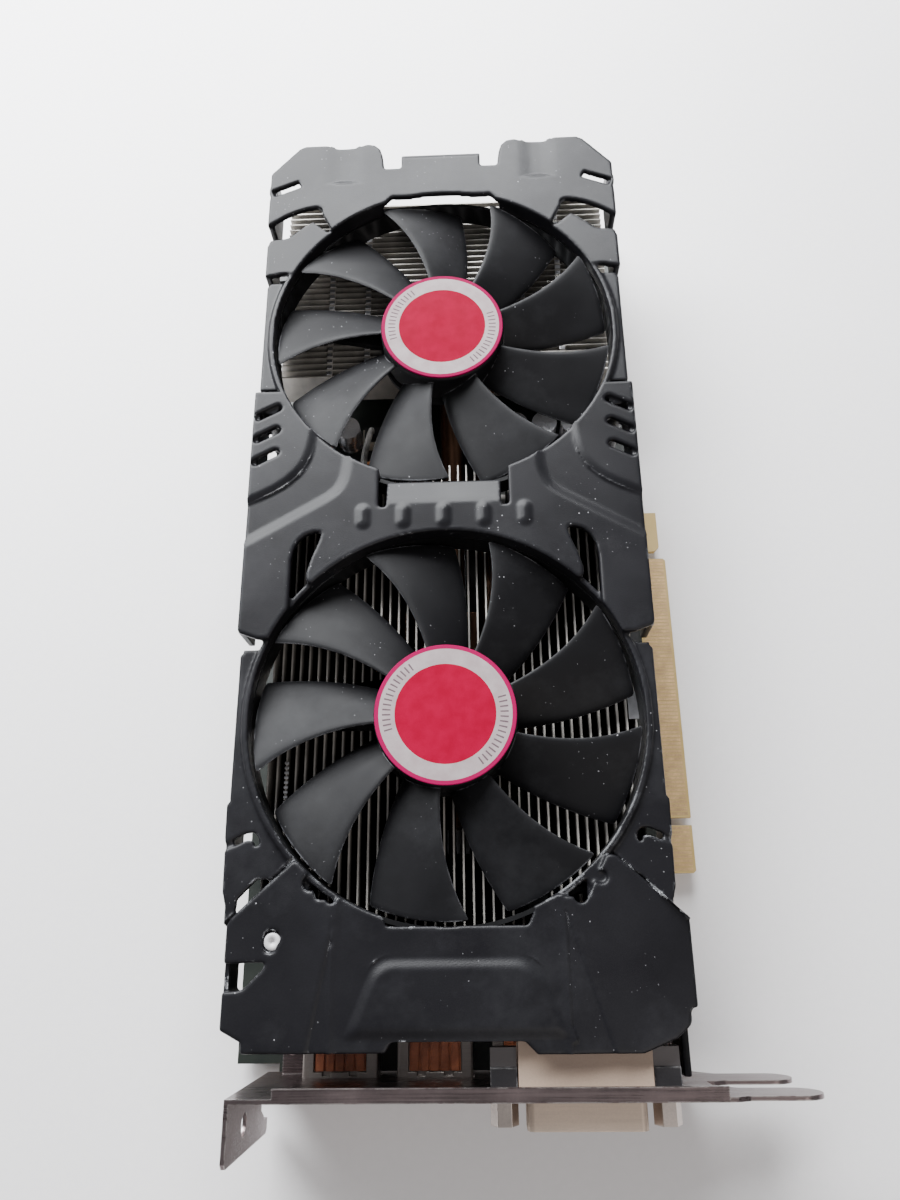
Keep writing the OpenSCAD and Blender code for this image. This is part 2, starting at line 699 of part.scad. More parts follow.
// Oval studs along the bridge between the fans
module bumps() {
    for (x = [-20, -10, 0, 10, 20]) translate([x, near_y + 49.9, card_h - 0.9]) {
        for (y = [-1.5, 1.5]) translate([0, y, 0]) sphere(r = 1.5);
        translate([0, -1.5, 0]) rotate([-90, 0, 0]) cylinder(r = 1.5, h = 3);
    }
}

// Short flap sloping down into the rear opening between the two slots
module flap() {
    translate([-flap_w / 2, 0, 0]) rotate([90, 0, 90]) linear_extrude(flap_w)
        polygon([[flap_y - 0.2, card_h], [flap_y + 1.2, card_h - 0.3], [flap_y + 6.8, card_h - 2],
            [flap_y + 6.8, card_h - 3.4], [flap_y + 0.6, card_h - wall], [flap_y - 0.2, card_h - wall]]);
}

// Short tongue in the middle of the far edge, rolled over at its tip
module end_lip() {
    e = card_len;
    translate([-11.4, 0, 0]) rotate([90, 0, 90]) linear_extrude(22.8)
        polygon([[e - 10, card_h], [e - 6, card_h], [e - 4.6, card_h - 0.6], [e - 4, card_h - 2],
            [e - 5.2, card_h - 2.2], [e - 5.8, card_h - wall], [e - 10, card_h - wall]]);
}

ears_front = [90, 226, 312];
ears_rear = [62, 118, 238, 302];
ear_r = opening_r + 3.1;
ear_boss_r = 2.4;
ring_top = card_h - 5.6;
ear_screw_r = 0.9;

// Places the children at every screw ear of both fans
module at_all_ears() {
    for (f = [[near_y, ears_front], [far_y, ears_rear]], a = f[1])
        translate([ear_r * cos(a), f[0] + ear_r * sin(a), 0]) rotate(a) children();
}

// Walls beside the front plate
module front_skirts() {
    block([front_x0, 13.4, skirt_z], [front_x0 + wall, 20.4, plate_z + 0.5]);
    block([front_x0, 20, skirt_z], [front_x0 + 0.9, 35, plate_z - 1]);
    block([front_x0, 26.2, skirt_z], [front_x0 + wall, 33.4, plate_z + 0.5]);
    block([front_x1 - wall, 17, skirt_z], [front_x1, 34, plate_z + 0.5]);
    block([front_x1 - wall - 1.4, 14, skirt_z - 8], [front_x1 - 1.4, 19, plate_z + 0.5]);
    block([front_x1 - wall - 1.4, 3.4, skirt_z - 8], [front_x1 - 1.4, 14.2, skirt_z + 4]);
}

module plates() {
    step = 0.8;
    slab(plate_z, card_h - step) wings_2d();
    slab(card_h - step, card_h) difference() {
        wings_2d();
        difference() {
            wing_step_2d();
            wing_pad_2d();
        }
    }
    slab(plate_z, card_h - step) front_plate_2d();
    slab(card_h - step, card_h - 0.4) difference() {
        front_plate_2d();
        front_valley_2d();
    }
    slab(card_h - step, card_h) front_panel_2d();
    slab(plate_z, card_h - step) both_sides() end_half_2d();
    slab(card_h - step, card_h) difference() {
        both_sides() end_half_2d();
        lobe_channel_2d();
    }
    slab(rail_top - wall, rail_top) both_sides() {
        rails_2d();
        corner_2d();
    }
    slab(rail_top - wall + 1, rail_top + 1) both_sides() ears_2d();
}

module shroud() {
    color("#3a3d42") at_card() difference() {
        union() {
            plates();
            bumps();
            flap();
            end_lip();
            collar();
            skirt(near_y + 20.6, far_y - 19.2, 0, plate_z + 0.5);
            skirt(near_y - 19.4, near_y + 15.4, 0.6, rail_top - 0.5);
            skirt(far_y - 17.2, far_y + 16.4, 0.6, rail_top - 0.5);
            skirt(far_y + 19.2, far_y + 29.6, 0, rail_top);
            skirt(far_y + 36.2, card_len - 10.4, 0, plate_z + 0.5);
            skirt(near_y - 37.6, near_y - 19.6, 0.4, rail_top - 0.5);
            front_skirts();
            for (p = posts) translate([p.x, p.y, pcb_top]) cylinder(r = post_r, h = plate_z + 0.5 - pcb_top);
            at_all_ears() translate([0, 0, ring_top]) cylinder(r = ear_boss_r, h = plate_z + 0.2 - ring_top);
        }
        for (p = posts) translate([p.x, p.y, pcb_top - 1]) cylinder(r = post_hole_r, h = post_depth + 1);
        at_all_ears() translate([0, 0, ring_top - 1]) cylinder(r = ear_screw_r + 0.05, h = 4);
    }
}

module fan_screws() {
    color("#2c2d30") at_card() at_all_ears() {
        difference() {
            translate([0, 0, ring_top - 3.1]) cylinder(r = 1.9, h = 1.1);
            for (a = [0, 90]) rotate(a) translate([-1, -0.2, ring_top - 3.2]) cube([2, 0.4, 0.6]);
        }
        translate([0, 0, ring_top - 2.1]) cylinder(r = ear_screw_r, h = 4.8);
    }
}

// ---------------------------------------------------------------- fans

base_plate_t = 1.4;
strut_t = 2;
motor_z = fan_z + base_plate_t;
hub_bottom = fan_z + 2.4;
hub_top = card_h - 0.7;
badge_t = 0.6;
badge_drop = 0.1;
hub_wall = 1.5;
magnet_t = 1.8;
magnet_r = hub_r - hub_wall;
stator_r = magnet_r - magnet_t - 0.5;
bearing_r = shaft_r + 1.5;
tube_r = bearing_r + 1.1;
tip_r = opening_r - tip_gap;
ring_in = ring_out - 1;
struts_front = [56, 176, 296];
struts_rear = [48, 168, 288];

module fan_frame(ears, struts) {
    difference() {
        union() {
            translate([0, 0, fan_z]) cylinder(r = hub_r + 0.6, h = base_plate_t);
            translate([0, 0, fan_z]) cylinder(r = tube_r, h = hub_top - 3.6 - fan_z);
            difference() {
                translate([0, 0, fan_z]) cylinder(r = ring_out, h = ring_top - fan_z);
                translate([0, 0, fan_z - 1]) cylinder(r = ring_in, h = 20);
            }
            for (a = struts) rotate(a) block([hub_r - 1, -2.4, fan_z],
                [ring_in + 0.5, 2.4, fan_z + strut_t]);
            for (a = ears) rotate(a) {
                translate([ear_r, 0, ring_top - 2]) cylinder(r = ear_boss_r, h = 2);
                block([ring_in + 0.3, -ear_boss_r, ring_top - 2], [ear_r, ear_boss_r, ring_top]);
            }
        }
        translate([0, 0, fan_z + 1]) cylinder(r = bearing_r + 0.01, h = 20);
        for (a = ears) rotate(a) translate([ear_r, 0, ring_top - 3]) cylinder(r = ear_screw_r + 0.2, h = 4);
    }
}

module fan_stator() {
    difference() {
        union() {
            translate([0, 0, motor_z + 0.2]) cylinder(r = stator_r - 2, h = 0.8);
            translate([0, 0, motor_z + 1]) cylinder(r = tube_r + 1.6, h = 4.4);
            for (a = [0:60:300]) rotate(a) {
                block([tube_r + 1, -1.3, motor_z + 1.6], [stator_r - 0.8, 1.3, motor_z + 4.8]);
                intersection() {
                    translate([0, 0, motor_z + 1.6]) cylinder(r = stator_r, h = 3.2);
                    block([stator_r - 1.2, -4, motor_z + 1.6], [stator_r, 4, motor_z + 4.8]);
                }
            }
        }
        cylinder(r = tube_r + 0.05, h = card_h);
    }
}

module fan_bearing() {
    difference() {
        translate([0, 0, fan_z + 1.4]) cylinder(r = bearing_r, h = hub_top - 4 - fan_z - 1.4);
        cylinder(r = shaft_r + shaft_play, h = card_h);
    }
}

module fan_shaft() {
    translate([0, 0, fan_z + 1.6]) cylinder(r = shaft_r, h = hub_top - 1 - fan_z - 1.6);
}

module fan_magnet() {
    difference() {
        translate([0, 0, motor_z + 1.4]) cylinder(r = magnet_r, h = 5.4);
        cylinder(r = magnet_r - magnet_t, h = card_h);
    }
}

// Angles of a blade's edges at the tip and how far each sweeps forwards from the hub
lead_tip = 12;
trail_tip = -17;
lead_sweep = 10.5;
trail_sweep = 15;
blade_low = fan_z + 2.8;
blade_high = card_h - 3;
blade_stations = 6;
blade_steps = 5;

function blade_point(r, t, up) = let (s = max(0, (r - hub_r) / (tip_r - hub_r)),
    trail = trail_tip - (1 - pow(s, 0.8)) * trail_sweep,
    lead = lead_tip - (1 - pow(s, 1.6)) * lead_sweep,
    a = trail + t * (lead - trail),
    z = blade_low + (blade_high - blade_low) * (0.82 * t + 0.18 * sin(90 * t)) + (up ? blade_t : 0))
    [r * cos(a), r * sin(a), z];

module blade() {
    row = blade_steps + 1;
    layer = (blade_stations + 1) * row;
    inner = hub_r - 1;
    points = [for (up = [false, true], i = [0:blade_stations], j = [0:blade_steps])
        blade_point(inner + (tip_r - inner) * i / blade_stations, j / blade_steps, up)];
    skins = [for (i = [0:blade_stations - 1], j = [0:blade_steps - 1]) let (a = i * row + j)
        each [[a, a + row, a + 1], [a + 1, a + row, a + row + 1],
        [layer + a, layer + a + 1, layer + a + row], [layer + a + 1, layer + a + row + 1, layer + a + row]]];
    sides = [for (i = [0:blade_stations - 1], j = [0, blade_steps]) let (a = i * row + j, b = a + row)
        each j == 0 ? [[a, layer + a, b], [b, layer + a, layer + b]] : [[a, b, layer + a],
            [b, layer + b, layer + a]]];
    ends = [for (j = [0:blade_steps - 1], i = [0, blade_stations]) let (a = i * row + j, b = a + 1)
        each i == 0 ? [[a, b, layer + a], [b, layer + b, layer + a]] : [[a, layer + a, b],
            [b, layer + a, layer + b]]];
    polyhedron(points, concat(skins, sides, ends));
}

module fan_impeller(first_blade) {
    difference() {
        union() {
            translate([0, 0, hub_bottom]) cylinder(r = hub_r, h = hub_top - hub_bottom);
            for (i = [0:blade_count - 1]) rotate(first_blade + i * 360 / blade_count) blade();
        }
        difference() {
            translate([0, 0, hub_bottom - 1]) cylinder(r = magnet_r, h = hub_top - 1.6 - hub_bottom + 1);
            translate([0, 0, hub_top - 2.8]) cylinder(r = 3.4, h = 3);
        }
        translate([0, 0, hub_bottom - 1]) cylinder(r = shaft_r, h = hub_top - 1 - hub_bottom + 1);
    }
}

module fan_badge() {
    translate([0, 0, hub_top]) cylinder(r = hub_r - 0.3, h = badge_t);
}

module front_fan() {
    at_card() translate([0, near_y, 0]) children();
}

module rear_fan() {
    at_card() translate([0, far_y, 0]) children();
}

module front_fan_frame() {
    color("#1b1c1e") front_fan() fan_frame(ears_front, struts_front);
}

module front_fan_stator() {
    color("#8c5a33") front_fan() fan_stator();
}

module front_fan_bearing() {
    color("#c6b27a") front_fan() fan_bearing();
}

module front_fan_shaft() {
    color("silver") front_fan() fan_shaft();
}

module front_fan_magnet() {
    color("#3b3b3f") front_fan() fan_magnet();
}

module front_fan_impeller() {
    color("#2b2d31") front_fan() fan_impeller(184);
}

module front_fan_badge() {
    color("#c8234f") front_fan() fan_badge();
}

module rear_fan_frame() {
    color("#1b1c1e") rear_fan() fan_frame(ears_rear, struts_rear);
}

module rear_fan_stator() {
    color("#8c5a33") rear_fan() fan_stator();
}

module rear_fan_bearing() {
    color("#c6b27a") rear_fan() fan_bearing();
}

module rear_fan_shaft() {
    color("silver") rear_fan() fan_shaft();
}

module rear_fan_magnet() {
    color("#3b3b3f") rear_fan() fan_magnet();
}

module rear_fan_impeller() {
    color("#2b2d31") rear_fan() fan_impeller(180);
}

module rear_fan_badge() {
    color("#c8234f") rear_fan() fan_badge();
}

// ---------------------------------------------------------------- slot bracket and sockets

// Draws a flat shape in X and Z, then gives it depth along Y
module upright(y0, y1) {
    translate([0, y1, 0]) rotate([90, 0, 0]) linear_extrude(y1 - y0) children();
}

module tongue_2d(z) {
    translate([shoulder_x - 1, z - tongue_w / 2]) square([tongue_tip - tongue_w / 2 - shoulder_x + 1,
        tongue_w]);
    translate([tongue_tip - tongue_w / 2, z]) circle(tongue_w / 2);
}

module bracket_face_2d() {
    translate([plate_x0, bracket_z]) square([shoulder_x - plate_x0, card_h - bracket_z]);
    for (z = tongue_zs) {
        tongue_2d(z);
        polygon([[shoulder_x - 1, z - 9], [shoulder_x, z - 9], [shoulder_x + 4.4, z - tongue_w / 2],
            [shoulder_x + 4.4, z + tongue_w / 2], [shoulder_x + 1.6, z + 6.4], [shoulder_x - 1, z + 6.4]]);
    }
}

module bracket_windows_2d() {
    gap = 0.25;
    for (x = port_xs) translate([x, port_row_z]) round_rect(port_w + 2 * gap, port_h + 2 * gap, 0.8);
    translate([hdmi_x, hdmi_z]) round_rect(hdmi_w + 2 * gap, hdmi_h + 2 * gap, 0.8);
    translate([dvi_x, dvi_z]) round_rect(24.4 + 2 * gap, 8.6 + 2 * gap, 1.6);
    for (x = jack_xs) translate([x, dvi_z]) circle(1.7);
}

module bracket_tab() {
    z_arm = tab_holes_z[0] - 2;
    z_root = tab_holes_z[0] + 4.4;
    hole_y = -5.9;
    difference() {
        translate([plate_x0, 0, 0]) rotate([90, 0, 90]) linear_extrude(sheet_t) difference() {
            polygon([[sheet_t, card_h], [1 - tab_depth, card_h], [-tab_depth, card_h - 1],
                [-tab_depth, z_arm + 1], [1 - tab_depth, z_arm], [hole_y - 2.3, z_arm],
                [hole_y - 2.3, tab_holes_z[0]], [hole_y, z_root], [sheet_t, z_root]]);
            translate([hole_y, tab_holes_z[0]]) circle(2.3);
        }
        translate([plate_x0 - 1, hole_y, tab_holes_z[1]]) rotate([0, 90, 0]) cylinder(r = 2.3, h = 3);
    }
}

module io_bracket() {
    color("#a39a9c") at_card() {
        difference() {
            union() {
                upright(0, sheet_t) bracket_face_2d();
                bracket_tab();
                block([plate_x0 + 9.4, 0, card_h - sheet_t], [shoulder_x, lip_w, card_h]);
                for (p = bracket_ears) {
                    block([p.x - bracket_ear_r, 0, pcb_top], [p.x + bracket_ear_r, p.y, pcb_top + sheet_t]);
                    translate([p.x, p.y, pcb_top]) cylinder(r = bracket_ear_r, h = sheet_t);
                }
            }
            upright(-1, sheet_t + eps) bracket_windows_2d();
            for (p = bracket_ears) translate([p.x, p.y, 0]) cylinder(r = bracket_screw_r + 0.1, h = card_h);
        }
    }
}

module bracket_screws() {
    color("silver") at_card() for (p = bracket_ears) translate([p.x, p.y, pcb_top + sheet_t]) {
        difference() {
            cylinder(r = 2.4, h = 1.3);
            for (a = [0, 90]) rotate(a) translate([-1.5, -0.3, 0.7]) cube([3, 0.6, 1]);
        }
        translate([0, 0, -pcb_t - sheet_t - 0.4]) cylinder(r = bracket_screw_r, h = pcb_t + sheet_t + 0.5);
    }
}

dvi_w = 27.4;
dvi_depth = 15;

module dvi_housing() {
    color("#a99b89") at_card() difference() {
        union() {
            block([dvi_x - dvi_w / 2, inner_y, dvi_z - 5.4], [dvi_x + dvi_w / 2, dvi_depth, dvi_z + 5.4]);
            block([dvi_x - 10, 19.4, pcb_top], [dvi_x + 10, 23.6, dvi_z + 5.4]);
            block([dvi_x - 10, dvi_depth - 1, dvi_z - 3], [dvi_x + 10, 20, dvi_z + 5.4]);
        }
        upright(0, 8) translate([dvi_x, dvi_z]) round_rect(24.4 + 0.1, 8.6 + 0.1, 1.5);
    }
}

module dvi_shell() {
    color("#b3aca0") at_card() difference() {
        upright(-6, 8) translate([dvi_x, dvi_z]) round_rect(24.4, 8.6, 1.5);
        upright(-7, 7) translate([dvi_x, dvi_z]) round_rect(23.6, 7.8, 1.2);
    }
}

module dvi_insert() {
    color("#d9cfbd") at_card() difference() {
        upright(-4.6, 7) translate([dvi_x, dvi_z]) round_rect(23.5, 7.7, 1.1);
        for (i = [0:7], j = [-1:1]) translate([dvi_x - 10.4 + i * 1.91, -3.2, dvi_z + j * 1.91])
            cube([1, 4, 1], center = true);
        translate([dvi_x + 7.6, -3.2, dvi_z]) cube([5.6, 4, 0.7], center = true);
        translate([dvi_x + 7.6, -3.2, dvi_z]) cube([0.7, 4, 5.2], center = true);
    }
}

// Steel posts each side of the video socket that take the jack screws
module dvi_clips() {
    color("#4a4b4e") at_card() for (x = jack_xs) difference() {
        union() {
            block([x - 2.8, inner_y, dvi_z - 4.6], [x + 2.7, 5.6, dvi_z + 4.6]);
            block([x - 2.8, 5.6, dvi_z + 1.2], [x + 2.7, 9.4, dvi_z + 4]);
        }
        translate([x, 0, dvi_z]) rotate([-90, 0, 0]) cylinder(r = 1.45, h = 7);
    }
}

module dvi_jack_screws() {
    color("#b9b2ad") at_card() for (x = jack_xs) translate([x, 0, dvi_z]) rotate([90, 0, 0]) difference() {
        union() {
            cylinder(r = 2.9, h = jack_out, $fn = 6);
            translate([0, 0, -5]) cylinder(r = jack_thread_r, h = 5.1);
        }
        translate([0, 0, jack_out - 4.5]) cylinder(r = jack_thread_r, h = 5);
        translate([0, 0, jack_out - 0.6]) cylinder(r1 = jack_thread_r, r2 = jack_thread_r + 0.7, h = 0.7);
    }
}

module display_shells() {
    depth = 18;
    color("#8d8d8c") at_card() for (x = port_xs) difference() {
        upright(-0.4, depth) translate([x, port_row_z]) round_rect(port_w, port_h, 0.6);
        upright(-1, depth - 3) translate([x, port_row_z - 0.2]) difference() {
            square([port_w - 1.2, port_h - 2], center = true);
            translate([-port_w / 2, -port_h / 2]) rotate(45) square(3, center = true);
        }
        block([x - 6.1, 2, port_row_z + port_h / 2 - 0.9],
            [x + 6.1, depth - 2.6, port_row_z + port_h / 2 + 1]);
        for (i = [-1, 1]) block([x + i * 3.1 - 1, 1.2, port_row_z + port_h / 2 - 0.9],
            [x + i * 3.1 + 1, 2.2, port_row_z + port_h / 2 + 1]);
    }
}

module display_inserts() {
    color("#b5683c") at_card() for (x = port_xs) {
        block([x - 5.9, 2.2, port_row_z + port_h / 2 - 0.9], [x + 5.9, 15, port_row_z + port_h / 2 - 0.5]);
        for (i = [-2:2]) block([x - 0.9 + i * 2.3, 2.2, port_row_z + port_h / 2 - 0.5],
            [x + 0.9 + i * 2.3, 15, port_row_z + port_h / 2]);
        block([x - 6.4, 1.4, port_row_z - 1.6], [x + 6.4, 15, port_row_z - 0.2]);
    }
}

module hdmi_shell() {
    color("#9a9a98") at_card() difference() {
        upright(-0.4, 12) translate([hdmi_x, hdmi_z]) round_rect(hdmi_w, hdmi_h, 0.6);
        upright(-1, 10) translate([hdmi_x, hdmi_z]) square([hdmi_w - 1, hdmi_h - 1.2], center = true);
    }
}

module hdmi_insert() {
    color("#1d1d1f") at_card() block([hdmi_x - 6.2, 1.2, hdmi_z - 0.6], [hdmi_x + 6.2, 10, hdmi_z + 0.8]);
}

backplate();
board_screws();
pcb();
edge_contacts();
gpu_package();
gpu_die();
memory_chips();
memory_pads();
power_inductors();
capacitors();
power_transistors();
choke_coil();
power_socket();
power_pins();
fan_header();
fan_plug();
front_fan_lead();
rear_fan_lead();
switch_body();
switch_slider();
cold_plate();
base_plate();
heat_pipe_left();
heat_pipe_middle();
heat_pipe_right();
front_fins();
rear_fins();
retention_bracket();
cooler_screws();
shroud();
fan_screws();
front_fan_frame();
front_fan_stator();
front_fan_bearing();
front_fan_shaft();
front_fan_magnet();
front_fan_impeller();
front_fan_badge();
rear_fan_frame();
rear_fan_stator();
rear_fan_bearing();
rear_fan_shaft();
rear_fan_magnet();
rear_fan_impeller();
rear_fan_badge();
io_bracket();
bracket_screws();
dvi_housing();
dvi_shell();
dvi_insert();
dvi_clips();
dvi_jack_screws();
display_shells();
display_inserts();
hdmi_shell();
hdmi_insert();
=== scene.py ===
import json
import math

import bmesh
import bpy
import numpy as np
from mathutils import Matrix, Vector


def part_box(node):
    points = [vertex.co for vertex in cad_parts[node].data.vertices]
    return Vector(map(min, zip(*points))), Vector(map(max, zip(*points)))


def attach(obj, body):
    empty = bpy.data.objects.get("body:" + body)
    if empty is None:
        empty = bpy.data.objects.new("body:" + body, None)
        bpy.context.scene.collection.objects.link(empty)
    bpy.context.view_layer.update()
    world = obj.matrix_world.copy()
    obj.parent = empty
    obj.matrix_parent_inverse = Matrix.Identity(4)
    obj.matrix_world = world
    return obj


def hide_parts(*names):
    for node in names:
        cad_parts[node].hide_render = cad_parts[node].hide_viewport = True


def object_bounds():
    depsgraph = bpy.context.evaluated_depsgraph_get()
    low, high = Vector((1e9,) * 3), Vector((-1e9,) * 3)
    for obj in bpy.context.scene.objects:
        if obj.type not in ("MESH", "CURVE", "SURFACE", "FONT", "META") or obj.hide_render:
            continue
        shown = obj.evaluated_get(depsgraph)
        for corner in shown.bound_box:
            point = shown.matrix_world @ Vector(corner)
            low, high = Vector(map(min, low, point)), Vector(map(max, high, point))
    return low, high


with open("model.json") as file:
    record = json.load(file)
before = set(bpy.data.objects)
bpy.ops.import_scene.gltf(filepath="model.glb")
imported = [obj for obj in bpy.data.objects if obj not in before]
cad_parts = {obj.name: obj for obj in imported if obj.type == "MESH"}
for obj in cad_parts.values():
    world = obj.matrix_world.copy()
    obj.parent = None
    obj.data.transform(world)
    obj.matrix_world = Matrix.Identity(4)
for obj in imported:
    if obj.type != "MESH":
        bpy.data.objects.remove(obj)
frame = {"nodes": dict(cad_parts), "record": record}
cad_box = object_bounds()
MM = 0.001
HUB = 16.6  # radius of the fans' hubs, mm
scene = bpy.context.scene


def fan_middle(side):
    """The middle of a fan's shaft."""
    lo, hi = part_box(f"{side}_fan_shaft")
    return (lo + hi) / 2


# ------------------------------------------------------------------ materials

class Nodes:
    """A short way to write a node material, new or added to."""

    def __init__(self, name=None, mat=None):
        self.mat = mat or bpy.data.materials.new(name)
        self.mat.use_nodes = True
        self.tree = self.mat.node_tree
        self.bsdf = self.tree.nodes["Principled BSDF"]

    def add(self, kind, **inputs):
        node = self.tree.nodes.new("ShaderNode" + kind)
        for key, value in inputs.items():
            if key.startswith("_"):
                setattr(node, key[1:], value)
            else:
                self.put(node, key, value)
        return node

    def put(self, node, key, value):
        by_number = key[0] == "i" and key[1:].isdigit()
        socket = node.inputs[int(key[1:]) if by_number else key]
        if isinstance(value, bpy.types.NodeSocket):
            self.tree.links.new(value, socket)
        else:
            socket.default_value = value

    def where(self):
        return self.add("TexCoord").outputs["Object"]

    def noise(self, scale, detail=3, rough=0.55, vector=None):
        n = self.add("TexNoise", Scale=scale, Detail=detail, Roughness=rough, Vector=vector or self.where())
        return n.outputs["Fac"]

    def math(self, op, a, b=0.0, c=None, clamp=False):
        n = self.add("Math", _operation=op, _use_clamp=clamp, i0=a, i1=b)
        if c is not None:
            self.put(n, "i2", c)
        return n.outputs[0]

    def remap(self, value, a, b, lo=0.0, hi=1.0):
        n = self.add("MapRange", _clamp=True, Value=value, i1=a, i2=b, i3=lo, i4=hi)
        return n.outputs[0]

    def mix(self, fac, a, b):
        n = self.add("Mix", _data_type="RGBA")
        self.put(n, "i0", fac)
        for i, v in ((6, a), (7, b)):
            self.put(n, f"i{i}", v if isinstance(v, bpy.types.NodeSocket) else (*v, 1.0))
        return n.outputs[2]

    def edge(self, radius, strength):
        """Up to 1 on sharp edges, 0 on flat faces."""
        b = self.add("Bevel", _samples=4, Radius=radius)
        g = self.add("NewGeometry")
        d = self.add("VectorMath", _operation="DOT_PRODUCT", i0=b.outputs["Normal"], i1=g.outputs["Normal"])
        away = self.math("SUBTRACT", 1.0, d.outputs["Value"])
        return self.math("MULTIPLY", away, strength, clamp=True)

    def bump(self, height, distance, strength):
        return self.add("Bump", Strength=strength, Distance=distance, Height=height).outputs["Normal"]


# The shroud is knocked most where the front plate's notches meet the opening
CHIPPED = [(fan_middle("front").x + x * MM, fan_middle("front").y - 38 * MM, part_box("shroud")[1].z)
           for x in (-26, 34)]


def shade(c, k):
    """A colour k times as bright."""
    return tuple(min(1.0, v * k) for v in c)


def material(name, color, rough, metallic=0.0, vary=0.18, patch=60.0, grain=2500.0, grain_depth=0.02,
             wear=None, wear_at=0.5, chips=None, dust=0.0, brushed=None, specular=0.5):
    """Blotchy colour and gloss and fine grain, with brush lines, worn edges, chips and dust where asked."""
    n = Nodes(name)
    blotch = n.noise(patch, 5)
    fine = n.noise(grain, 2)
    tone = n.mix(n.remap(blotch, 0.3, 0.7), shade(color, 1 - vary), shade(color, 1 + vary))
    tone = n.mix(n.remap(fine, 0.35, 0.65, 0.0, 0.25), tone, shade(color, 1 - vary * 2))
    gloss = n.remap(blotch, 0.25, 0.75, rough - 0.07, rough + 0.07)
    if brushed:
        stretched = n.add("Mapping", Vector=n.where(), Scale=brushed).outputs[0]
        lines = n.noise(1.0, 4, 0.7, stretched)
        gloss = n.math("ADD", gloss, n.remap(lines, 0.3, 0.7, -0.08, 0.1))
        tone = n.mix(n.remap(lines, 0.3, 0.7, 0.0, 0.5), tone, shade(color, 1.35))
    if wear:
        patches = n.remap(n.noise(260.0, 6, 0.7), wear_at, wear_at + 0.12)
        rubbed = n.math("MULTIPLY", n.edge(0.5 * MM, 4.5), patches)
        tone = n.mix(rubbed, tone, wear)
    if chips:
        away = [n.add("VectorMath", _operation="DISTANCE", i0=n.where(), i1=p) for p in CHIPPED]
        zones = [n.remap(d.outputs["Value"], 12.0 * MM, 30.0 * MM, 1.0, 0.0) for d in away]
        spots = n.math("MULTIPLY_ADD", n.math("MAXIMUM", *zones), 0.12, n.noise(230.0, 5, 0.65))
        sharp = n.remap(n.edge(0.9 * MM, 1.0), 0.04, 0.15)
        knocked = n.math("MULTIPLY", sharp, n.remap(spots, 0.61, 0.63))
        tone = n.mix(n.math("MULTIPLY", knocked, 0.85), tone, chips)
    if dust:
        cells = n.add("TexVoronoi", Scale=900.0, Randomness=1.0, Vector=n.where())
        chance = n.add("SeparateColor", Color=cells.outputs["Color"]).outputs[0]
        size = n.remap(chance, 1.0 - dust, 1.0, 0.0, 0.16)
        near = n.math("LESS_THAN", cells.outputs["Distance"], size)
        patchy = n.remap(n.noise(60.0, 3), 0.50, 0.66)
        speck = n.math("MULTIPLY", near, patchy)
        tone = n.mix(n.math("MULTIPLY", speck, 0.7), tone, (0.42, 0.42, 0.44))
        film = n.math("MULTIPLY", n.remap(n.noise(34.0, 6, 0.68), 0.48, 0.85), 0.07)
        tone = n.mix(film, tone, (0.22, 0.225, 0.24))
    n.put(n.bsdf, "Base Color", tone)
    n.put(n.bsdf, "Roughness", gloss)
    n.put(n.bsdf, "Metallic", metallic)
    n.put(n.bsdf, "Specular IOR Level", specular)
    n.put(n.bsdf, "Normal", n.bump(fine, grain_depth * MM, 0.5))
    return n.mat


def badge_material(name, centre, painted_dimming):
    """Crimson disc, pale ring with plain tick marks, magenta rim. The last argument scales the two reds, as
    painted shade that darkens a badge under stronger light.
    """
    n = Nodes(name)
    at = n.add("VectorMath", _operation="SUBTRACT", i0=n.where(), i1=centre).outputs[0]
    xyz = n.add("SeparateXYZ", Vector=at)
    x, y = xyz.outputs[0], xyz.outputs[1]
    r = n.math("SQRT", n.math("ADD", n.math("MULTIPLY", x, x), n.math("MULTIPLY", y, y)))
    turn = n.math("ARCTAN2", y, x)
    tick = n.math("LESS_THAN", n.math("FRACT", n.math("MULTIPLY", turn, 72 / math.tau)), 0.3)
    span = n.math("LESS_THAN", n.math("ABSOLUTE", n.math("SINE", n.math("ADD", turn, 0.35))), 0.62)
    band = n.math("LESS_THAN", n.math("ABSOLUTE", n.math("SUBTRACT", r, 13.5 * MM)), 0.95 * MM)
    marks = n.math("MULTIPLY", n.math("MULTIPLY", tick, span), band)
    cloud = n.remap(n.noise(300.0, 4), 0.35, 0.65)
    red = n.mix(cloud, shade((0.24, 0.0, 0.020), painted_dimming), shade((0.28, 0.0, 0.027), painted_dimming))
    grey = n.mix(cloud, (0.28, 0.23, 0.235), (0.33, 0.285, 0.29))
    grey = n.mix(marks, grey, (0.10, 0.07, 0.08))
    tone = n.mix(n.math("GREATER_THAN", r, 11.6 * MM), red, grey)
    tone = n.mix(n.math("GREATER_THAN", r, 15.3 * MM), tone, shade((0.26, 0.004, 0.060), painted_dimming))
    n.put(n.bsdf, "Base Color", tone)
    n.put(n.bsdf, "Roughness", n.remap(n.noise(120.0, 4), 0.3, 0.7, 0.40, 0.55))
    n.put(n.bsdf, "Specular IOR Level", 0.02)
    n.put(n.bsdf, "Normal", n.bump(n.noise(900.0, 3), 0.01 * MM, 0.4))
    return n.mat


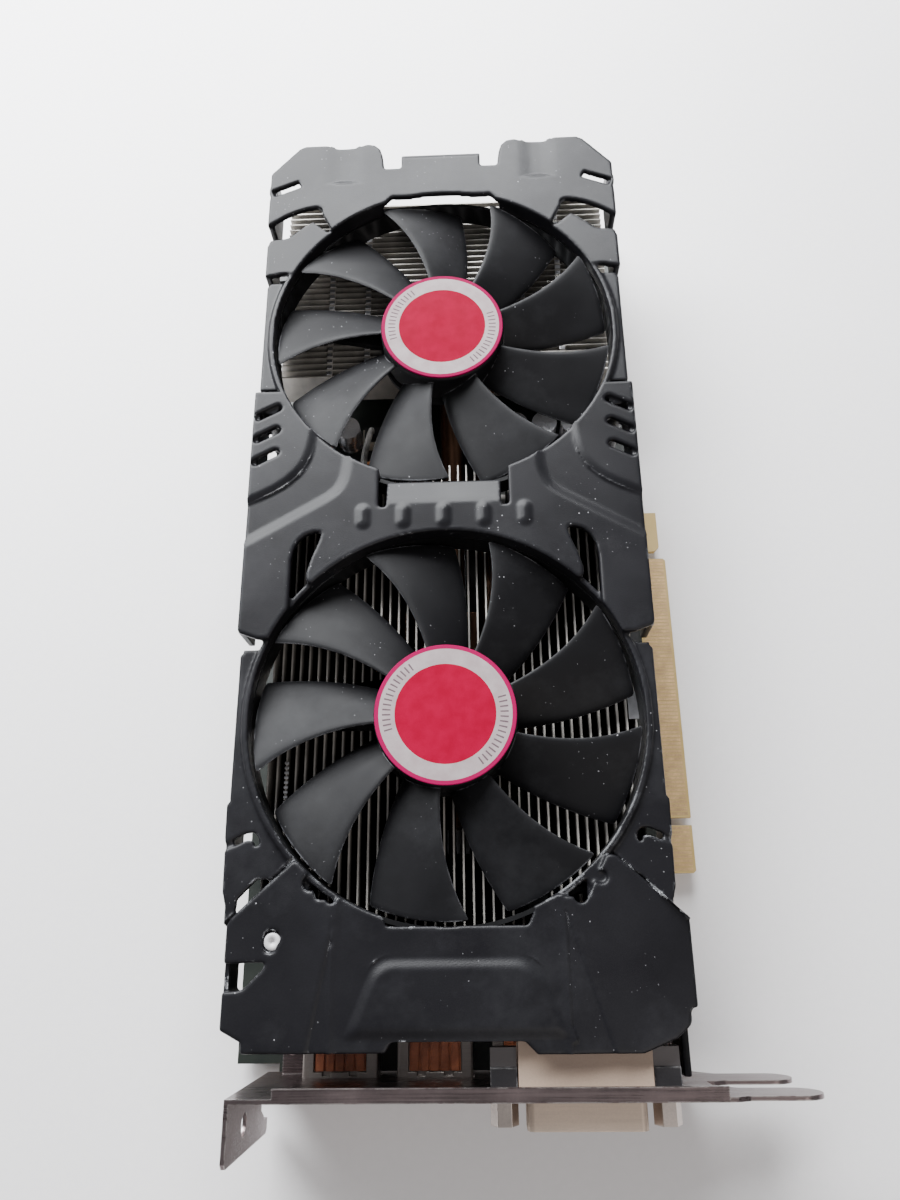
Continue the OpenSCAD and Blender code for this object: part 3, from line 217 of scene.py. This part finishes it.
def sided(look, axis, at, width, colour, inside=None):
    """Paints a colour over a material beyond `at` along an axis, as painted shade or a painted highlight, and
    leaves out the outer faces of the node `inside`.
    """
    n = Nodes(mat=look)
    tone = n.bsdf.inputs["Base Color"].links[0].from_socket
    place = n.add("SeparateXYZ", Vector=n.where())
    side = n.remap(place.outputs[axis], at, at + width)
    if inside:
        lo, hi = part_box(inside)
        for k in (0, 1):
            middle, reach = (lo[k] + hi[k]) / 2, (hi[k] - lo[k]) / 2
            off = n.math("ABSOLUTE", n.math("SUBTRACT", place.outputs[k], middle))
            side = n.math("MULTIPLY", side, n.remap(off, reach - 0.4 * MM, reach - 1.6 * MM))
    n.put(n.bsdf, "Base Color", n.mix(side, tone, colour))


def board_material():
    """Dark solder mask, with bare yellow-green laminate on the edges and the contact tongue."""
    n = Nodes("circuit_board")
    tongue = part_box("pcb")[1].x - 8.4 * MM
    facing = n.add("SeparateXYZ", Vector=n.add("NewGeometry").outputs["Normal"]).outputs[2]
    side = n.math("LESS_THAN", n.math("ABSOLUTE", facing), 0.5)
    out = n.math("GREATER_THAN", n.add("SeparateXYZ", Vector=n.where()).outputs[0], tongue)
    bare = n.math("MAXIMUM", side, out)
    cloud = n.remap(n.noise(140.0, 5), 0.3, 0.7)
    mask = n.mix(cloud, (0.005, 0.008, 0.006), (0.010, 0.014, 0.010))
    weave = n.add("TexWave", _wave_type="BANDS", Scale=900.0, Distortion=1.0, Vector=n.where()).outputs["Fac"]
    glass = n.mix(cloud, (0.47, 0.33, 0.12), (0.54, 0.39, 0.17))
    glass = n.mix(n.math("MULTIPLY", weave, 0.3), glass, (0.46, 0.35, 0.12))
    n.put(n.bsdf, "Base Color", n.mix(bare, mask, glass))
    n.put(n.bsdf, "Roughness", n.remap(cloud, 0.0, 1.0, 0.38, 0.5))
    n.put(n.bsdf, "Normal", n.bump(weave, 0.01 * MM, 0.4))
    return n.mat


PLASTIC = (0.0078, 0.0076, 0.0092)
LOOKS = {
    "backplate_metal": material("backplate_metal", (0.022, 0.022, 0.024), 0.45, dust=0.2,
                                wear=(0.3, 0.3, 0.3)),
    "black_screw": material("black_screw", (0.05, 0.05, 0.055), 0.35, 0.8, wear=(0.4, 0.4, 0.4)),
    "circuit_board": board_material(),
    "gold_contact": material("gold_contact", (0.60, 0.41, 0.22), 0.5, 0.4, vary=0.25, patch=300.0,
                             specular=0.2),
    "package_substrate": material("package_substrate", (0.04, 0.10, 0.05), 0.45),
    "silicon": material("silicon", (0.10, 0.10, 0.12), 0.15, 0.3),
    "chip_resin": material("chip_resin", (0.015, 0.015, 0.016), 0.55, grain_depth=0.05),
    "thermal_pad": material("thermal_pad", (0.33, 0.36, 0.40), 0.8),
    "ferrite": material("ferrite", (0.10, 0.10, 0.11), 0.7, grain_depth=0.06),
    "aluminium_can": material("aluminium_can", (0.60, 0.60, 0.62), 0.3, 0.9, brushed=(40.0, 40.0, 3000.0)),
    "copper_winding": material("copper_winding", (0.50, 0.20, 0.07), 0.35, 0.8, brushed=(60.0, 60.0, 4000.0)),
    "black_connector": material("black_connector", (0.02, 0.02, 0.022), 0.5, dust=0.2),
    "white_connector": material("white_connector", (0.62, 0.60, 0.52), 0.5, dust=0.1),
    "lead_sleeve": material("lead_sleeve", (0.30, 0.29, 0.27), 0.5, vary=0.3, patch=500.0),
    "copper": material("copper", (0.20, 0.105, 0.065), 0.45, 0.9, vary=0.3, brushed=(2500.0, 40.0, 2500.0)),
    "cast_aluminium": material("cast_aluminium", (0.42, 0.42, 0.43), 0.45, 0.9, grain_depth=0.05),
    "spring_steel": material("spring_steel", (0.45, 0.45, 0.46), 0.35, 0.9, brushed=(60.0, 2500.0, 60.0)),
    "shroud_plastic": material("shroud_plastic", PLASTIC, 0.36, vary=0.25, patch=45.0, grain=3200.0,
                               grain_depth=0.05, wear=(0.13, 0.13, 0.14), wear_at=0.52,
                               chips=(0.48, 0.49, 0.51), dust=0.7, specular=0.17),
    "frame_plastic": material("frame_plastic", (0.005, 0.005, 0.0055), 0.55, dust=0.2, specular=0.15),
    "blade_plastic": material("blade_plastic", (0.0052, 0.0051, 0.0060), 0.50, patch=80.0, grain=3000.0,
                              wear=(0.14, 0.14, 0.15), wear_at=0.44, dust=0.5, specular=0.135),
    "bearing_bronze": material("bearing_bronze", (0.5, 0.33, 0.16), 0.5, 0.9),
    "shaft_steel": material("shaft_steel", (0.6, 0.6, 0.62), 0.2, 1.0),
    "magnet_ferrite": material("magnet_ferrite", (0.06, 0.06, 0.065), 0.7),
    "bracket_nickel": material("bracket_nickel", (0.17, 0.135, 0.135), 0.30, 1.0, vary=0.2, patch=90.0,
                               brushed=(30.0, 2000.0, 2000.0), wear=(0.6, 0.57, 0.55), wear_at=0.40),
    "dvi_plastic": material("dvi_plastic", (0.40, 0.30, 0.23), 0.45, vary=0.12, dust=0.1),
    "dvi_metal": material("dvi_metal", (0.52, 0.42, 0.34), 0.42, 0.5, vary=0.15,
                          brushed=(40.0, 2200.0, 2200.0)),
    "clip_steel": material("clip_steel", (0.045, 0.043, 0.046), 0.4, 0.6, wear=(0.5, 0.5, 0.5), wear_at=0.4),
    "jack_metal": material("jack_metal", (0.52, 0.46, 0.42), 0.32, 0.95, vary=0.2),
    "socket_metal": material("socket_metal", (0.30, 0.27, 0.25), 0.38, 0.9, brushed=(40.0, 2200.0, 2200.0)),
    "socket_insert": material("socket_insert", (0.36, 0.115, 0.055), 0.40, vary=0.3, patch=260.0),
}
# Painted shade darkens the fins' inner faces low down between the fins; the clips' rear halves get a painted
# highlight
FINS = {name: material(name, (0.42, 0.40, 0.37), 0.5, 0.6, vary=0.25, patch=150.0, dust=0.25,
                       brushed=(300.0, 300.0, 40.0)) for name in ("front_fins", "rear_fins")}
for name, look in FINS.items():
    # painted shade: the inner fin faces turn near black towards the bottom of the stack
    sided(look, 2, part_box(name)[1].z - 0.5 * MM, -3.5 * MM, (0.010, 0.0095, 0.009), inside=name)
# painted highlight: the clips' rear halves are painted lighter where the light falls on them
sided(LOOKS["clip_steel"], 1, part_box("dvi_clips")[1].y - 3.9 * MM, 0.3 * MM, (0.13, 0.12, 0.12))
SLOTS = {s["node"]: s["material_slot"] for s in frame["record"]["subparts"]}


def paint(obj, look):
    obj.data.materials.clear()
    obj.data.materials.append(look)


def modifier(obj, kind, **settings):
    m = obj.modifiers.new(kind.lower(), kind)
    for key, value in settings.items():
        setattr(m, key, value)
    return m


for name, node in frame["nodes"].items():
    if SLOTS[name] == "badge":
        side = name.split("_")[0]
        c = fan_middle(side)
        # painted shade: the rear badge's reds are painted darker to offset the stronger light it gets
        paint(node, badge_material("badge_" + side, (c.x, c.y, 0.0), 0.8 if side == "rear" else 1.0))
    else:
        paint(node, FINS.get(name) or LOOKS[SLOTS[name]])

# Soft edges on carried-over nodes: width in mm
SOFT_EDGES = {
    "io_bracket": 0.18, "dvi_housing": 0.4, "dvi_shell": 0.14, "dvi_clips": 0.3, "dvi_jack_screws": 0.25,
    "display_shells": 0.12, "display_inserts": 0.1, "hdmi_shell": 0.12, "pcb": 0.12, "power_socket": 0.15,
    "front_fan_frame": 0.2, "rear_fan_frame": 0.2, "capacitors": 0.25, "power_inductors": 0.2,
    "front_fan_badge": 0.15, "rear_fan_badge": 0.15, "backplate": 0.15, "switch_body": 0.12,
    "fan_header": 0.12, "base_plate": 0.2, "retention_bracket": 0.12, "cold_plate": 0.2,
    "bracket_screws": 0.12, "fan_plug": 0.12,
}


def soft_edges(obj, width):
    """Joins the coplanar triangles of a CAD mesh and rounds its edges."""
    modifier(obj, "WELD", merge_threshold=1e-6)
    modifier(obj, "DECIMATE", decimate_type="DISSOLVE", angle_limit=math.radians(0.6))
    modifier(obj, "BEVEL", width=width * MM, segments=2, limit_method="ANGLE", angle_limit=math.radians(35),
             use_clamp_overlap=True, harden_normals=False)
    modifier(obj, "WEIGHTED_NORMAL", keep_sharp=True)


for name, width in SOFT_EDGES.items():
    soft_edges(frame["nodes"][name], width)


# ------------------------------------------------------------------ new pieces

def new_object(name, mesh, body, nodes, look, smooth=True):
    obj = bpy.data.objects.new(name, mesh)
    scene.collection.objects.link(obj)
    if smooth:
        mesh.polygons.foreach_set("use_smooth", [True] * len(mesh.polygons))
    paint(obj, look)
    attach(obj, body)
    if nodes:
        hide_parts(*nodes)
    return obj


def evaluated(obj):
    dg = bpy.context.evaluated_depsgraph_get()
    return bpy.data.meshes.new_from_object(obj.evaluated_get(dg))


def voxel_copy(name, node, voxel):
    """The node's own shape on a fine even grid, so that it can be sculpted."""
    src = frame["nodes"][node]
    tmp = bpy.data.objects.new("tmp", src.data.copy())
    scene.collection.objects.link(tmp)
    tmp.data.transform(Matrix.Scale(100.0, 4))
    modifier(tmp, "REMESH", mode="VOXEL", voxel_size=voxel * MM * 100, adaptivity=0.0)
    bpy.context.view_layer.update()
    mesh = evaluated(tmp)
    mesh.transform(Matrix.Scale(0.01, 4))
    mesh.name = name
    bpy.data.objects.remove(tmp)
    return mesh


def relax(mesh, rounds):
    """The mesh's points, with the stair steps that a grid leaves on slanting edges evened out."""
    nv = len(mesh.vertices)
    co = np.zeros(nv * 3, np.float32)
    mesh.vertices.foreach_get("co", co)
    co = co.reshape(-1, 3).astype(float)
    e = np.zeros(len(mesh.edges) * 2, np.int32)
    mesh.edges.foreach_get("vertices", e)
    e = e.reshape(-1, 2)
    deg = np.bincount(e.ravel(), minlength=nv).astype(float)[:, None]
    for _ in range(rounds):
        for k in (0.5, -0.52):
            acc = np.zeros_like(co)
            for axis in range(3):
                acc[:, axis] = (np.bincount(e[:, 0], weights=co[e[:, 1], axis], minlength=nv)
                                + np.bincount(e[:, 1], weights=co[e[:, 0], axis], minlength=nv))
            co += k * (acc / deg - co)
    return co


def set_points(mesh, co):
    mesh.vertices.foreach_set("co", co.astype(np.float32).ravel())
    mesh.update()


def ramp(v, a, b):
    t = np.clip((v - a) / (b - a), 0, 1)
    return t * t * (3 - 2 * t)


def beyond(x, y, *corners, soft=0.8):
    """Distance in mm into the convex area on the left of a chain of corners."""
    sides = []
    for (ax, ay), (bx, by) in zip(corners, corners[1:]):
        run = math.dist((ax, ay), (bx, by))
        sides.append(((bx - ax) * (y - ay) - (by - ay) * (x - ax)) / run)
    return -soft * np.log(sum(np.exp(np.clip(-d / soft, -60, 60)) for d in sides))


def moulded_height(x, y, top):
    """Change in the shroud's top height, and where the plain steps are redrawn as soft slopes.

    x and y are in mm from the front fan's axis, top is the flat plates' height."""
    ax = np.abs(x)
    target = np.full(len(x), top)
    flat = np.full(len(x), top)
    near_step = np.zeros(len(x), bool)

    wings = (y > 18.5) & (y < 87.2)
    crease = beyond(ax, y, (24.2, 68.0), (24.6, 60.6), (26.4, 57.2), (50.3, 43.2))
    pad = beyond(ax, y, (33.4, 75.0), (34.2, 67.0), (36.6, 62.6), (40.2, 59.2), (44.4, 56.8), (50.3, 54.6))
    target[wings] -= (0.8 * ramp(crease, -1.8, 1.8) * (1 - ramp(pad, -1.5, 1.2)))[wings]
    flat[wings & (crease > 0) & (pad < 0)] -= 0.8
    near_step |= wings & ((np.abs(crease) < 0.7) | (np.abs(pad) < 0.7))

    corners = np.maximum(beyond(x, y, (-46.7, -43.6), (-33.6, -31.6)),
                         beyond(x, y, (36.8, -31.7), (50.4, -44.3)))
    plate = (y < -31.0) & (corners < 0.15)
    left = beyond(x, y, (-24.0, -30.0), (-24.0, -42.6), (-29.4, -70.6))
    right = beyond(x, y, (34.2, -70.6), (24.6, -40.6), (24.6, -30.0))
    out = -np.minimum(left, right)
    panel = beyond(x, y, (-21.6, -67.2), (25.4, -67.2), (19.6, -54.0), (16.4, -51.9), (-13.4, -51.9),
                   (-16.2, -54.0), (-21.6, -67.2), soft=0.5)
    rise = 0.4 * ramp(out, -1.5, 1.5) - 0.07 * np.maximum(out - 1.0, 0)
    target[plate] += (-0.8 + rise + 0.8 * ramp(panel, -0.4, 2.4))[plate]
    flat[plate] -= np.where(panel > 0, 0.0, np.where(out > 0, 0.4, 0.8))[plate]
    near_step |= plate & ((np.abs(panel) < 0.7) | (np.abs(out) < 0.7))

    lobes = y > 150.0
    channel = np.minimum(np.minimum(ax - 24.0, 31.6 - ax), y - 156.8)
    bowl = np.minimum(ramp(np.minimum(ax - 21.5, 34.1 - ax), 0.0, 5.6), ramp(y, 155.9, 158.0))
    target[lobes] -= (0.45 * bowl)[lobes]
    flat[lobes & (channel > 0)] -= 0.8
    near_step |= lobes & (np.abs(channel) < 0.6)
    return target, flat, near_step


def shroud_top():
    """Height of the shroud's flat plates in mm, which its studs stand 0.6 mm above."""
    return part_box("shroud")[1].z / MM - 0.6


def build_shroud():
    """The shroud's CAD shape with soft creases, raised panels, bowls, wide slots and rounded studs."""
    mesh = voxel_copy("shroud", "shroud", 0.42)
    co = relax(mesh, 3)
    mid = fan_middle("front")
    x, y, z = (co[:, 0] - mid.x) / MM, (co[:, 1] - mid.y) / MM, co[:, 2] / MM
    top = shroud_top()
    target, flat, near_step = moulded_height(x, y, top)
    shift = (target - flat) * ramp(z, top - 4.0, top - 1.7)
    studs = (np.abs(y - 49.9) < 3.6) & (np.abs(x) < 23)
    skin = near_step & (z > top - 1.15) & ~studs
    z = np.where(skin, target, z + shift)
    # the far lobes' slanted slots are opened a little: u runs along a slot and v across it
    across_x, across_y = math.sin(math.radians(23)), math.cos(math.radians(23))
    from_x, from_y = np.abs(x) - 44.6, y - 155.2
    u = from_x * across_y - from_y * across_x
    v = from_x * across_x + from_y * across_y
    open_up = 0.6 * (1 - ramp(np.abs(v), 0.7, 3.2)) * (1 - ramp(np.abs(u), 4.4, 6.5)) * np.sign(v)
    open_up *= z > top - 3.0
    x, y = x + np.sign(x) * across_x * open_up, y + across_y * open_up
    # fuller studs in a row across the bridge
    for cx in range(-20, 21, 10):
        d = np.hypot(x - cx, np.maximum(np.abs(y - 49.9) - 1.5, 0))
        lift = 0.5 * (1 - ramp(d, 0.4, 2.3))
        z = np.where((z > top - 0.5) & (d < 2.3), np.maximum(z, np.minimum(top + lift, top + 0.58)), z)
    set_points(mesh, np.stack([x * MM + mid.x, y * MM + mid.y, z * MM], 1))
    new_object("shroud_moulding", mesh, "card", ["shroud"], LOOKS["shroud_plastic"])


build_shroud()


# ------------------------------------------------------------------ impellers

def turn(bm, profile, mid, steps):
    """Adds a lathe shape to bm from a closed profile of radius and height pairs in mm."""
    rings = []
    for r, z in profile:
        if r < 1e-6:
            rings.append([bm.verts.new((mid.x, mid.y, z * MM))])
        else:
            around = [math.tau * k / steps for k in range(steps)]
            rings.append([bm.verts.new((mid.x + r * MM * math.cos(t), mid.y + r * MM * math.sin(t), z * MM))
                          for t in around])
    for a, b in zip(rings, rings[1:] + rings[:1]):
        if len(a) == 1 and len(b) == 1:
            continue
        for k in range(steps):
            j = (k + 1) % steps
            if len(a) == 1:
                bm.faces.new((a[0], b[k], b[j]))
            elif len(b) == 1:
                bm.faces.new((a[k], a[j], b[0]))
            else:
                bm.faces.new((a[k], a[j], b[j], b[k]))


def finish_turned(name, bm, body, nodes, look):
    """Makes a smooth piece from bm."""
    bmesh.ops.recalc_face_normals(bm, faces=bm.faces)
    mesh = bpy.data.meshes.new(name)
    bm.to_mesh(mesh)
    bm.free()
    modifier(new_object(name, mesh, body, nodes, look), "WEIGHTED_NORMAL")


def build_impeller(side, first):
    """Nine swept blades round a turned hub. `first` is the angle of the first blade in degrees."""
    node = f"{side}_fan_impeller"
    lo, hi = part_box(node)
    mid = fan_middle(side)
    tip = min(hi.x - mid.x, mid.x - lo.x, hi.y - mid.y, mid.y - lo.y) / MM - 0.05
    inner = HUB - 0.9
    low = lo.z / MM + 0.4
    high = hi.z / MM - 2.3
    bm = bmesh.new()

    def blade_ring(r, n):
        s = max(0.0, (r - HUB) / (tip - HUB))
        trail = -17.0 - (1 - s ** 0.8) * 15.0
        lead = 12.0 - (1 - s ** 1.6) * 10.5
        trim = 0.8 * max(0.0, (s - 0.985) / 0.015)
        pts = []
        for k in range(n + 1):
            t = k / n
            a = math.radians(trail + trim + t * (lead - trail - 2 * trim))
            z = low + (high - low) * (0.82 * t + 0.18 * math.sin(math.pi / 2 * t))
            edge = 0.35 + 0.65 * math.sqrt(max(0.0, 1 - abs(2 * t - 1) ** 8))
            thick = (1.15 - 0.3 * s) * edge
            if s > 0.995:
                thick *= 0.7
            pts.append((r * math.cos(a), r * math.sin(a), z + 0.55, thick))
        return pts

    radii = [inner + (tip - inner) * k / 22 for k in range(22)] + [tip - 0.4, tip - 0.12, tip]
    steps = 16
    for b in range(9):
        rot = math.radians(first + b * 40)
        c, s = math.cos(rot), math.sin(rot)
        rows = []
        for r in radii:
            up, down = [], []
            for x, y, z, th in blade_ring(r, steps):
                px, py = x * c - y * s, x * s + y * c
                up.append(bm.verts.new((mid.x + px * MM, mid.y + py * MM, (z + th / 2) * MM)))
                down.append(bm.verts.new((mid.x + px * MM, mid.y + py * MM, (z - th / 2) * MM)))
            rows.append(up + down[::-1])
        m = len(rows[0])
        for i in range(len(rows) - 1):
            for k in range(m):
                bm.faces.new((rows[i][k], rows[i + 1][k], rows[i + 1][(k + 1) % m], rows[i][(k + 1) % m]))
        bm.faces.new(rows[0])
        bm.faces.new(rows[-1][::-1])
    # hub turned from a profile, with a rounded shoulder
    top, base = hi.z / MM, lo.z / MM
    profile = [(HUB - 1.5, base), (HUB - 0.2, base), (HUB, base + 0.2), (HUB, top - 1.0),
               (HUB - 0.12, top - 0.5), (HUB - 0.45, top - 0.15), (HUB - 0.95, top), (2.0, top), (0.0, top)]
    inside = [(0.0, top - 1.6), (HUB - 1.5, top - 1.6)]
    turn(bm, profile + inside, mid, 96)
    finish_turned(f"{side}_impeller", bm, f"{side}_rotor", [node], LOOKS["blade_plastic"])


build_impeller("front", 184)
build_impeller("rear", 180)


def lathe(name, parts, at, look):
    """A turned piece of the card from one or more profiles."""
    bm = bmesh.new()
    for profile in parts:
        turn(bm, profile, at, 32)
    finish_turned(name, bm, "card", (), look)


def build_hole_screw():
    """Boss and pale screw head under the small hole in the front plate."""
    top = shroud_top()
    hole = fan_middle("front") + Vector((-37.2, -48.3, 0.0)) * MM
    boss = [(1.95, top - 9.0), (2.7, top - 9.0), (2.7, top - 1.5), (1.95, top - 1.5)]
    floor_of_boss = [(0.0, top - 9.0), (2.0, top - 9.0), (2.0, top - 5.0), (0.0, top - 5.0)]
    screw = [(0.0, top - 5.0), (1.92, top - 5.0), (1.92, top - 1.9), (1.75, top - 1.65), (0.6, top - 1.6),
             (0.45, top - 2.1), (0.0, top - 2.1)]
    pale = material("pale_screw", (0.55, 0.54, 0.55), 0.55, 0.2, patch=500.0)
    lathe("hole_boss", [boss, floor_of_boss], hole, LOOKS["shroud_plastic"])
    lathe("hole_screw", [screw], hole, pale)


build_hole_screw()


def bars(name, corners):
    """Small bare bars of the card, from low and high corners in mm."""
    bm = bmesh.new()
    for low, high in corners:
        size = Vector(high) - Vector(low)
        middle = (Vector(low) + Vector(high)) / 2
        place = Matrix.Translation(middle * MM) @ Matrix.Diagonal((*(size * MM), 1.0))
        bmesh.ops.create_cube(bm, size=1.0, matrix=place)
    mesh = bpy.data.meshes.new(name)
    bm.to_mesh(mesh)
    bm.free()
    obj = new_object(name, mesh, "card", (), LOOKS["aluminium_can"], smooth=False)
    modifier(obj, "BEVEL", width=0.08 * MM, segments=2)


def build_fin_tabs():
    """Folded tabs that lock the fins together, and the bright corner of the front stack."""
    y = fan_middle("front").y / MM
    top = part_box("front_fins")[1].z / MM
    bars("fin_tabs", [((-38.9, y - 21.5 + 1.15 * k, top - 0.3), (-37.9, y - 20.9 + 1.15 * k, top + 0.2))
                      for k in range(12)])
    bars("fin_corner", [((43.5, y + 0.6, top - 0.5), (45.9, y + 7.4, top + 0.15))])
    lo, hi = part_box("rear_fins")
    fin_ys = [lo.y / MM + 2.0 * k for k in range(29)]
    top = hi.z / MM
    bars("rear_fin_tabs", [((x, fin_y + 0.7, top - 0.5), (x + 1.5, fin_y + 1.8, top + 0.15))
                           for x in (-33.0, -22.5, 22.0, 32.5) for fin_y in fin_ys])


build_fin_tabs()


# ------------------------------------------------------------------ stage

def floor_material():
    """Pale matt table top."""
    n = Nodes("table_top")
    cloud = n.noise(4.0, 4)
    fine = n.noise(500.0, 3)
    tone = n.mix(n.remap(cloud, 0.3, 0.7), (0.86, 0.845, 0.85), (0.89, 0.875, 0.88))
    tone = n.mix(n.remap(fine, 0.3, 0.7, 0.0, 0.08), tone, (0.6, 0.59, 0.6))
    n.put(n.bsdf, "Base Color", tone)
    n.put(n.bsdf, "Roughness", n.remap(cloud, 0.3, 0.7, 0.5, 0.6))
    n.put(n.bsdf, "Normal", n.bump(fine, 0.02 * MM, 0.3))
    return n.mat


bm = bmesh.new()
bmesh.ops.create_grid(bm, x_segments=8, y_segments=8, size=2.5)
floor_mesh = bpy.data.meshes.new("floor")
bm.to_mesh(floor_mesh)
bm.free()
floor = bpy.data.objects.new("floor", floor_mesh)
floor.location = (0, 0, cad_box[0].z - 0.05 * MM)
scene.collection.objects.link(floor)
paint(floor, floor_material())


def area(name, at, aim, size, power, color):
    """A soft rectangular light."""
    light = bpy.data.lights.new(name, "AREA")
    light.shape = "RECTANGLE"
    light.size, light.size_y = size
    light.energy = power
    light.color = color
    obj = bpy.data.objects.new(name, light)
    obj.location = at
    obj.rotation_euler = (Vector(aim) - Vector(at)).to_track_quat("-Z", "Y").to_euler()
    scene.collection.objects.link(obj)


area("window", (-0.19, 0.45, 0.36), (-0.06, 0.16, 0.0), (0.72, 0.4), 22.0, (0.96, 0.98, 1.0))
area("fill", (0.45, -0.7, 0.8), (0.0, 0.0, 0.0), (0.9, 0.9), 5.0, (1.0, 0.93, 0.88))

world = bpy.data.worlds.new("room")
world.use_nodes = True
world.node_tree.nodes["Background"].inputs["Color"].default_value = (0.86, 0.87, 0.9, 1)
world.node_tree.nodes["Background"].inputs["Strength"].default_value = 0.34
scene.world = world

camera_data = bpy.data.cameras.new("camera")
camera_data.lens = 27.05
camera_data.sensor_width = 36.0
camera_data.clip_start = 0.01
camera_data.clip_end = 20.0
camera = bpy.data.objects.new("camera", camera_data)
camera.location = (8.24 * MM, -90.59 * MM, 241.66 * MM)
camera.rotation_euler = (0.3544, 0.038, -0.0103)
scene.collection.objects.link(camera)
scene.camera = camera
